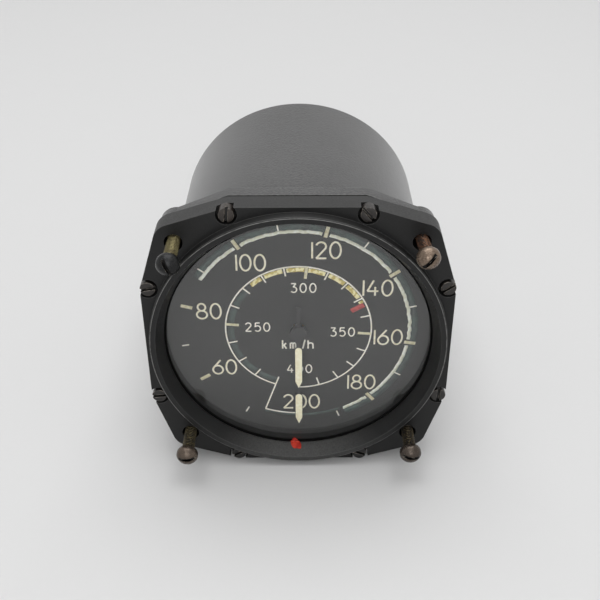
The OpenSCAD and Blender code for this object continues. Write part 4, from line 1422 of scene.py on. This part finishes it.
# The angle between the points of an oval and of an arc, in degrees, and the fewest steps that either has.
OVAL_STEP, ARC_STEP, FEWEST_STEPS = 8.0, 2.0, 2


def oval(middle: Point, radii: Point, start: float, end: float) -> Path:
    """Gives points along an oval.

    Args:
        middle: the oval's middle.
        radii: its radii across and up.
        start: where it starts, in degrees anticlockwise from the right.
        end: where it ends.

    Returns:
        The points, one every few degrees.
    """
    count = max(FEWEST_STEPS, round(abs(end - start) / OVAL_STEP))
    turns = [math.radians(start + (end - start) * index / count) for index in range(count + 1)]
    return [(middle[0] + radii[0] * math.cos(a), middle[1] + radii[1] * math.sin(a)) for a in turns]


# The turn of a closed oval in degrees, more than a full one so that its ends overlap.
WHOLE = 385.0
GLYPHS = {
    "0": Glyph(0.58, (oval((0, 0), (0.29, 0.5), 0, WHOLE),)),
    "1": Glyph(0.0, ([(0, -0.5), (0, 0.5)],)),
    "2": Glyph(0.56, (
        oval((0, 0.24), (0.26, 0.26), 165, -38) + [(-0.27, -0.5)],
        [(-0.27, -0.5), (0.29, -0.5)],
    )),
    "3": Glyph(0.54, (
        [(-0.24, 0.5), (0.22, 0.5)],
        [(0.22, 0.5), (-0.04, 0.12)] + oval((0, -0.19), (0.29, 0.31), 98, -145),
    )),
    "4": Glyph(0.62, (
        [(0.04, 0.5), (-0.3, -0.2)],
        [(-0.3, -0.2), (0.31, -0.2)],
        [(0.13, 0.08), (0.13, -0.5)],
    )),
    "5": Glyph(0.54, (
        [(0.23, 0.5), (-0.19, 0.5)],
        [(-0.19, 0.5), (-0.23, 0.03)] + oval((0, -0.17), (0.29, 0.33), 132, -140),
    )),
    "6": Glyph(0.58, (
        [(0.17, 0.5), (-0.24, -0.04)],
        oval((0, -0.2), (0.29, 0.3), 145, 145 + WHOLE),
    )),
    "8": Glyph(0.58, (
        oval((0, 0.265), (0.215, 0.235), -90, WHOLE - 90),
        oval((0, -0.235), (0.29, 0.265), 90, 90 + WHOLE),
    )),
    "k": Glyph(0.37, (
        [(-0.18, -0.5), (-0.18, 0.5)],
        [(0.17, 0.16), (-0.17, -0.2)],
        [(-0.05, -0.07), (0.19, -0.5)],
    )),
    "m": Glyph(0.51, (
        [(-0.255, -0.5), (-0.255, 0.18)],
        oval((-0.128, -0.02), (0.127, 0.2), 180, 0) + [(0.0, -0.5)],
        oval((0.127, -0.02), (0.128, 0.2), 180, 0) + [(0.255, -0.5)],
    )),
    "/": Glyph(0.42, ([(0.08, -0.5), (0.31, 0.55)],)),
    "h": Glyph(0.48, (
        [(-0.24, -0.5), (-0.24, 0.5)],
        oval((0.0, -0.04), (0.24, 0.22), 180, 0) + [(0.24, -0.5)],
    )),
}


@dataclass(frozen=True)
class Numeral:
    """A number on the dial.

    Attributes:
        text: its figures.
        middle: where its middle lies, across and up.
    """

    text: str
    middle: Point

    def strokes(self, height: float, gap: float) -> list[Path]:
        """Sets the figures side by side.

        Args:
            height: the figures' height, between the middles of the strokes.
            gap: the space between figures.

        Returns:
            The paths of all the strokes.
        """
        glyphs = [GLYPHS[letter] for letter in self.text]
        paths = []
        left = -(sum(glyph.width for glyph in glyphs) * height + gap * (len(glyphs) - 1)) / 2
        for glyph in glyphs:
            centre = self.middle[0] + left + glyph.width * height / 2
            paths += [
                [(centre + across * height, self.middle[1] + up * height) for across, up in stroke]
                for stroke in glyph.strokes
            ]
            left += glyph.width * height + gap
        return paths


@dataclass(frozen=True)
class Brush:
    """How a kind of paint is laid on the dial.

    Attributes:
        width: the stroke's width.
        thickness: how thick the paint is.
        end: over what length the ends are rounded.
        wobble: how far the hand strays.
        ripple: how much the width varies.
        step: the length between points.
        seed: picks the strays.
    """

    width: float
    thickness: float = 0.05
    end: float = 0.1
    wobble: float = 0.0
    ripple: float = 0.0
    step: float = 0.1
    seed: float = 0.0

    def paint(self, paths: Iterable[Path], depth: float, finish: Finish) -> bpy.types.Mesh:
        """Paints strokes on a surface.

        Args:
            paths: where the strokes run.
            depth: the depth of the surface.
            finish: the paint.

        Returns:
            The strokes as one mesh.
        """
        values = {
            "Width": self.width * MM,
            "Thickness": self.thickness * MM,
            "Step": self.step * MM,
            "End": self.end * MM,
            "Wobble": self.wobble * MM,
            "Ripple": self.ripple,
            "Seed": self.seed,
            "Depth": (depth - self.thickness / 2) * MM,
            "Material": finish.material(),
        }
        return stroke_tree().run(path_mesh(paths), values)


def arc(radius: float, start: float, end: float) -> Path:
    """Gives points along a clockwise arc on the dial, from one angle to a larger one."""
    count = max(FEWEST_STEPS, round((end - start) / ARC_STEP))
    return [polar(radius, start + (end - start) * index / count) for index in range(count + 1)]


@dataclass(frozen=True)
class BrokenArc:
    """An arc on the dial that is broken at the marks of a scale.

    Attributes:
        radius: its radius.
        span: where it starts, and the larger angle where it ends.
        gap: the width of each gap.
    """

    radius: float
    span: Point
    gap: float

    def paths(self, marks: Iterable[float]) -> list[Path]:
        """Breaks the arc at the marks.

        Args:
            marks: the angles of the marks.

        Returns:
            The pieces of the arc.
        """
        half = math.degrees(self.gap / 2 / self.radius)
        start, end = self.span
        cuts = [start - half, *(mark for mark in sorted(marks) if start < mark < end), end + half]
        return [arc(self.radius, near + half, far - half) for near, far in zip(cuts, cuts[1:])]


@dataclass
class DialFace:
    """The dial with its two scales, coloured arcs and numbers.

    Attributes:
        outer: the angle of each ten from 50 on the outer scale.
        inner: the angle of each ten from 210 on the inner scale.
        outer_numbers: the numbers of the outer scale.
        inner_numbers: the numbers of the inner scale.
        unit: the unit of speed.
        outer_height: height of the outer numbers.
        inner_height: height of the inner numbers.
        unit_height: height of the unit.
        outer_gap: space between the figures of the outer numbers.
        inner_gap: space between the figures of the inner numbers.
        unit_gap: space between the letters of the unit.
        bar: inner and outer radius of the outer scale's bars.
        tick: inner and outer radius of its thin ticks.
        ring: radius of the inner scale's ring.
        inner_tick: radius that its ticks reach in to.
        inner_bar: radius that its bars reach in to.
        white: the thick white arc along the outer scale.
        outer_green: the green arc along the outer scale.
        inner_green: the green arc along the inner scale.
        yellow: the yellow arc along the inner scale.
        red: radius and angle of each end of the red mark.
        jump: the angle of the line that joins the scales, and the radii of its ends.
        base_arc: radius and ends of the thin arc that leads to it.
        green_base: radius and ends of the green arc along it.
        front: the depth of the dial's front, which the CAD model gives.
    """

    outer: Sequence[float] = (
        208, 238.4, 260.5, 283.9, 306.3, 328.7, 350.7, 373.9,
        394, 415.2, 436.6, 458.4, 478.7, 499, 519.2, 540,
    )
    inner: Sequence[float] = (
        199.1, 218.5, 237.2, 257, 275.1, 293.5, 312, 330.4, 349, 366.6,
        383.8, 401.6, 419.6, 436.9, 454.3, 471.6, 489.1, 506.2, 523.1, 540,
    )
    outer_numbers: Sequence[Numeral] = (
        Numeral("60", (-21.1, -12.9)), Numeral("80", (-24.5, 6.1)), Numeral("100", (-12.5, 21.4)),
        Numeral("120", (7.5, 25.1)), Numeral("140", (21.5, 13.4)), Numeral("160", (25.0, -2.7)),
        Numeral("180", (18.0, -18.4)), Numeral("200", (0.7, -25.5)),
    )
    inner_numbers: Sequence[Numeral] = (
        Numeral("250", (-11.3, 0.8)), Numeral("300", (1.4, 13.5)), Numeral("350", (12.2, -0.9)),
        Numeral("400", (0.2, -13.6)),
    )
    unit: Numeral = Numeral("km/h", (-0.22, -5.1))
    outer_height: float = 4.85
    inner_height: float = 2.78
    unit_height: float = 2.85
    outer_gap: float = 1.0
    inner_gap: float = 1.0
    unit_gap: float = 1.15
    bar: Point = (29.8, 33.0)
    tick: Point = (31.1, 33.1)
    ring: float = 20.17
    inner_tick: float = 17.5
    inner_bar: float = 16.5
    white: BrokenArc = BrokenArc(30.7, (301.7, 515.3), 1.9)
    outer_green: BrokenArc = BrokenArc(32.1, (301.7, 515.3), 1.4)
    inner_green: BrokenArc = BrokenArc(18.7, (200.1, 311.0), 1.3)
    yellow: BrokenArc = BrokenArc(19.2, (318.6, 423.5), 1.1)
    red: tuple[Point, Point] = ((15.7, 67.3), (19.6, 65.7))
    jump: tuple[float, float, float] = (199.2, 17.44, 29.78)
    base_arc: tuple[float, float, float] = (29.8, 179.5, 199.3)
    green_base: tuple[float, float, float] = (30.45, 157.0, 199.0)
    front: float = 0.0

    def build(self) -> None:
        """Dresses the dial and paints everything on it."""
        dress_node("dial_plate", DIAL_PAINT)
        self.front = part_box("dial_plate")[0].y / MM
        self.paint_arcs()
        self.paint_scales()
        self.paint_numbers()

    def lay(self, name: str, paths: Iterable[Path], brush: Brush, finish: Finish) -> None:
        """Paints strokes on the dial and adds them as a piece."""
        add_piece(brush.paint(paths, self.front, finish), name, finish)

    @staticmethod
    def every(angles: Sequence[float], radii: Point) -> list[Path]:
        """Gives a line between two radii at each angle."""
        return [[polar(radii[0], angle), polar(radii[1], angle)] for angle in angles]

    def paint_arcs(self) -> None:
        """Paints the coloured arcs."""
        bars = self.outer[1::2]
        green = Brush(1.7, 0.02, end=0.2, wobble=0.08, ripple=0.25, step=0.25, seed=1.0)
        both = self.outer_green.paths(bars) + self.inner_green.paths(self.inner)
        self.lay("green_arcs", both, green, GREEN)
        base = Brush(0.8, 0.02, end=0.3, wobble=0.06, ripple=0.3, step=0.25, seed=11.0)
        self.lay("green_base_arc", [arc(*self.green_base)], base, GREEN)
        white = Brush(0.96, 0.06, end=0.32, wobble=0.36, ripple=1.8, step=0.1, seed=2.0)
        self.lay("white_arc", self.white.paths(bars), white, WHITE_ARC)
        yellow = Brush(1.3, 0.06, end=0.25, wobble=0.16, ripple=1.2, step=0.1, seed=3.0)
        self.lay("yellow_blocks", self.yellow.paths(self.inner), yellow, YELLOW)
        red = Brush(1.45, 0.07, end=0.8, wobble=0.05, ripple=0.6, step=0.1, seed=4.0)
        self.lay("red_mark", [[polar(*self.red[0]), polar(*self.red[1])]], red, RED_MARK)

    def paint_scales(self) -> None:
        """Paints the lines, ticks and bars of both scales."""
        fifties = self.inner[4::5]
        thin = [angle for angle in self.inner[1:-1] if angle not in fifties]
        line = Brush(0.42, 0.05, end=0.2, wobble=0.02, ripple=0.12, step=0.15, seed=5.0)
        angle, near, far = self.jump
        lines = [arc(self.ring, self.inner[0], self.inner[-1]), [polar(near, angle), polar(far, angle)]]
        lines += [arc(*self.base_arc)] + self.every(thin, (self.inner_tick, self.ring))
        self.lay("scale_lines", lines, line, WHITE_LINE)
        tick = Brush(0.42, 0.04, end=0.12, ripple=0.15, step=0.1, seed=6.0)
        self.lay("outer_ticks", self.every(self.outer[0:-1:2], self.tick), tick, WHITE_LINE)
        bar = Brush(1.0, 0.07, end=0.1, ripple=0.12, step=0.1, seed=7.0)
        self.lay("outer_bars", self.every(self.outer[1:-1:2], self.bar), bar, OLIVE_BAR)
        short = Brush(0.8, 0.06, end=0.1, ripple=0.12, step=0.1, seed=8.0)
        self.lay("inner_bars", self.every(fifties[:-1], (self.inner_bar, self.ring)), short, OLIVE_BAR)

    @staticmethod
    def words(numerals: Iterable[Numeral], height: float, gap: float) -> list[Path]:
        """Gives the strokes of some numbers with figures of one height and gap."""
        return [path for numeral in numerals for path in numeral.strokes(height, gap)]

    def paint_numbers(self) -> None:
        """Paints the numbers and the unit."""
        bold = Brush(0.53, 0.06, end=0.24, wobble=0.015, ripple=0.1, step=0.08, seed=9.0)
        fine = Brush(0.38, 0.06, end=0.17, wobble=0.01, ripple=0.1, step=0.06, seed=10.0)
        outer = self.words(self.outer_numbers, self.outer_height, self.outer_gap)
        inner = self.words(self.inner_numbers, self.inner_height, self.inner_gap)
        clear = Brush(0.45, 0.06, end=0.17, wobble=0.01, ripple=0.1, step=0.06, seed=12.0)
        self.lay("outer_numbers", outer, bold, CREAM)
        self.lay("inner_numbers", inner, fine, WHITE_LINE)
        self.lay("speed_unit", self.unit.strokes(self.unit_height, self.unit_gap), clear, WHITE_LINE)


@dataclass
class PointerNeedle:
    """The black needle with its two cream bars, on the pointer's own staff.

    Attributes:
        rounding: how wide the needle's edges are rounded.
        bar_rounding: how wide the bars' edges are rounded.
    """

    rounding: float = 0.08
    bar_rounding: float = 0.06

    def build(self) -> None:
        """Makes the needle and its bars."""
        SoftenedNode("pointer", POINTER_BLACK, self.rounding, Body.POINTER).build()
        SoftenedNode("pointer_lume", LUME, self.bar_rounding, Body.POINTER).build()
        dress_node("pointer_staff", STEEL)


@dataclass
class HosePorts:
    """The two hose ports at the rear with their washers, nuts and pipe.

    Attributes:
        rounding: how wide the ports' edges are rounded.
    """

    rounding: float = 0.15

    def build(self) -> None:
        """Makes the ports and dresses what they clamp."""
        for node in ("pitot_port", "static_port"):
            SoftenedNode(node, PORT_METAL, self.rounding).build()
        dress_node("port_washers", FIBRE)
        dress_node("port_nuts", BRASS)
        dress_node("pressure_pipe", COPPER)


@dataclass
class Movement:
    """The capsule, linkage and gears inside the case, which keep their shapes."""

    def build(self) -> None:
        """Dresses every piece."""
        for finish, nodes in self.pieces().items():
            for node in nodes:
                dress_node(node, finish)

    @staticmethod
    def pieces() -> dict[Finish, tuple[str, ...]]:
        """Sorts the pieces by finish.

        Returns:
            The names of the nodes that have each finish.
        """
        return {
            ALUMINIUM: ("base_plate", "rear_plate", "front_plate"),
            STEEL: (
                "base_screws", "capsule_stud", "pillar_screws", "front_plate_screws", "bracket_screws",
                "rocking_shaft", "sector_arbor", "sector_lever", "wheel_arbor", "driver_arm",
            ),
            BRASS: (
                "capsule_stem", "stem_nut", "long_pillars", "short_pillars", "bearing_bushes", "left_bracket",
                "right_bracket", "crank_arm", "counterweight", "sector_gear", "intermediate_wheel",
                "hairspring_collet", "hairspring_stud",
            ),
            BRONZE_SHEET: ("rear_diaphragm", "front_diaphragm"),
            BLUED_STEEL: ("hairspring",),
        }


@dataclass(frozen=True)
class Softbox:
    """A wide soft lamp that is aimed at the object.

    Attributes:
        name: what the lamp is called.
        place: where it hangs.
        size: its width.
        power: its power in watts.
    """

    name: str
    place: tuple[float, float, float]
    size: float
    power: float

    def hang(self) -> None:
        """Adds the lamp to the scene."""
        data = bpy.data.lights.new(self.name, "AREA")
        data.shape, data.size, data.energy = "SQUARE", self.size * MM, self.power
        lamp = bpy.data.objects.new(self.name, data)
        lamp.location = Vector(self.place) * MM
        lamp.rotation_euler = lamp.location.to_track_quat("Z", "Y").to_euler()
        bpy.context.scene.collection.objects.link(lamp)


# How pale the surroundings look.
BACKDROP = 0.9


@dataclass(frozen=True)
class PaperFinish(Finish):
    """Pale paper that fades into the surroundings far from the object.

    Attributes:
        near: how far from the object the fade starts.
        far: how far from it only the surroundings show.
        glow: how pale they are.
    """

    near: float = 570.0
    far: float = 1300.0
    glow: float = BACKDROP

    def surface(self, graph: NodeGraph, shaded: bpy.types.NodeSocket) -> bpy.types.NodeSocket:
        """Fades the shader into an even glow.

        Args:
            graph: the material's tree.
            shaded: the shader's socket.

        Returns:
            The socket with the surface.
        """
        place = graph.add("ShaderNodeTexCoord").outputs["Object"]
        away = graph.vector("LENGTH", {0: place}, "Value")
        pale = graph.add("ShaderNodeEmission", {"Strength": self.glow}).outputs[0]
        fade = graph.sum("MULTIPLY", graph.ramp(away, self.near * MM, self.far * MM), graph.seen())
        return graph.add("ShaderNodeMixShader", {0: fade, 1: shaded, 2: pale}).outputs[0]


PAPER = PaperFinish(
    "pale_floor", None, (221, 221, 221), (221, 221, 221), roughness=0.8,
    grain=900.0, relief=0.002,
)


@dataclass
class Studio:
    """A pale floor, soft light from above, and the camera at the photograph's angle.

    Attributes:
        elevation: how far the camera looks down, in degrees.
        yaw: how far it looks aside.
        roll: how far it is rolled.
        distance: from the camera to its target.
        target: the point that the middle of the picture shows.
        focal: focal length in pixels of the square picture.
        picture: width of that picture in pixels.
        sensor: width of the camera's sensor.
        floor_half: half the floor's width.
        lamps: the lamps.
        sky: how much light comes from all round.
        backdrop: how pale the surroundings look.
    """

    elevation: float = 32.7511
    yaw: float = -0.3810
    roll: float = -0.3576
    distance: float = 235.5226
    target: tuple[float, float, float] = (0.5275, 0.0, 14.1505)
    focal: float = 899.1984
    picture: float = 600.0
    sensor: float = 36.0
    floor_half: float = 3000.0
    lamps: Sequence[Softbox] = (
        Softbox("top_softbox", (0.0, 100.0, 1200.0), 1200.0, 11.0),
        Softbox("front_softbox", (0.0, -1000.0, 900.0), 1000.0, 3.0),
        Softbox("low_softbox", (0.0, -1100.0, 350.0), 700.0, 2.2),
    )
    sky: float = 0.35
    backdrop: float = BACKDROP

    def build(self) -> None:
        """Makes the floor, the light and the camera."""
        self.floor()
        for lamp in self.lamps:
            lamp.hang()
        self.world()
        self.camera()
        bpy.context.scene.view_settings.view_transform = "Standard"

    def floor(self) -> None:
        """Lays the floor under the lower rear edges of the flange and of the case."""
        spots = [vert.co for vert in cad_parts["case"].data.vertices]
        low = min(spot.z for spot in spots)
        heel = max(spot.y for spot in spots if spot.z < low + WELD)
        tilt = min(math.atan2(spot.z - low, spot.y - heel) for spot in spots if spot.y > heel + WELD)
        half = self.floor_half * MM
        corners = [(-half, -half, 0.0), (half, -half, 0.0), (half, half, 0.0), (-half, half, 0.0)]
        mesh = bpy.data.meshes.new("studio_floor")
        mesh.from_pydata(corners, [], [(0, 1, 2, 3)])
        mesh.transform(Matrix.Translation((0.0, heel, low)) @ Matrix.Rotation(tilt, 4, "X"))
        mesh.materials.append(PAPER.material())
        floor = bpy.data.objects.new("studio_floor", mesh)
        bpy.context.scene.collection.objects.link(floor)

    def world(self) -> None:
        """Lights the scene a little from all round, and shows pale surroundings to the camera."""
        world = bpy.data.worlds.new("studio")
        world.use_nodes = True
        graph = NodeGraph(world.node_tree)
        light, shown = (
            graph.add("ShaderNodeBackground", {"Color": WHITE, "Strength": strength}).outputs[0]
            for strength in (self.sky, self.backdrop)
        )
        sky = graph.add("ShaderNodeMixShader", {0: graph.seen(), 1: light, 2: shown}).outputs[0]
        graph.add("ShaderNodeOutputWorld", {"Surface": sky})
        bpy.context.scene.world = world

    def camera(self) -> None:
        """Sets the camera where the photograph was taken from."""
        elevation, yaw, roll = (math.radians(turn) for turn in (self.elevation, self.yaw, self.roll))
        level = math.cos(elevation)
        forward = Vector((math.sin(yaw) * level, math.cos(yaw) * level, -math.sin(elevation)))
        right = Vector((math.cos(yaw), -math.sin(yaw), 0.0))
        up = right.cross(forward)
        across = math.cos(roll) * right + math.sin(roll) * up
        above = math.cos(roll) * up - math.sin(roll) * right
        data = bpy.data.cameras.new("photo_camera")
        data.sensor_width = self.sensor
        data.lens = self.focal / self.picture * self.sensor
        data.clip_start = MM
        camera = bpy.data.objects.new("photo_camera", data)
        turn = Matrix((across, above, -forward)).transposed().to_4x4()
        camera.matrix_world = Matrix.Translation((Vector(self.target) - self.distance * forward) * MM) @ turn
        bpy.context.scene.collection.objects.link(camera)
        bpy.context.scene.camera = camera


def main() -> None:
    """Builds every sub-assembly in order."""
    logging.basicConfig(level=logging.INFO)
    assemblies = (
        CaseShell(), FrontFrame(), EdgeScrews(), MountingScrews(), GlassStack(), DialFace(), PointerNeedle(),
        HosePorts(), Movement(), Studio(),
    )
    for assembly in assemblies:
        LOG.info("building %s", type(assembly).__name__)
        assembly.build()


if __name__ == "__main__":
    main()
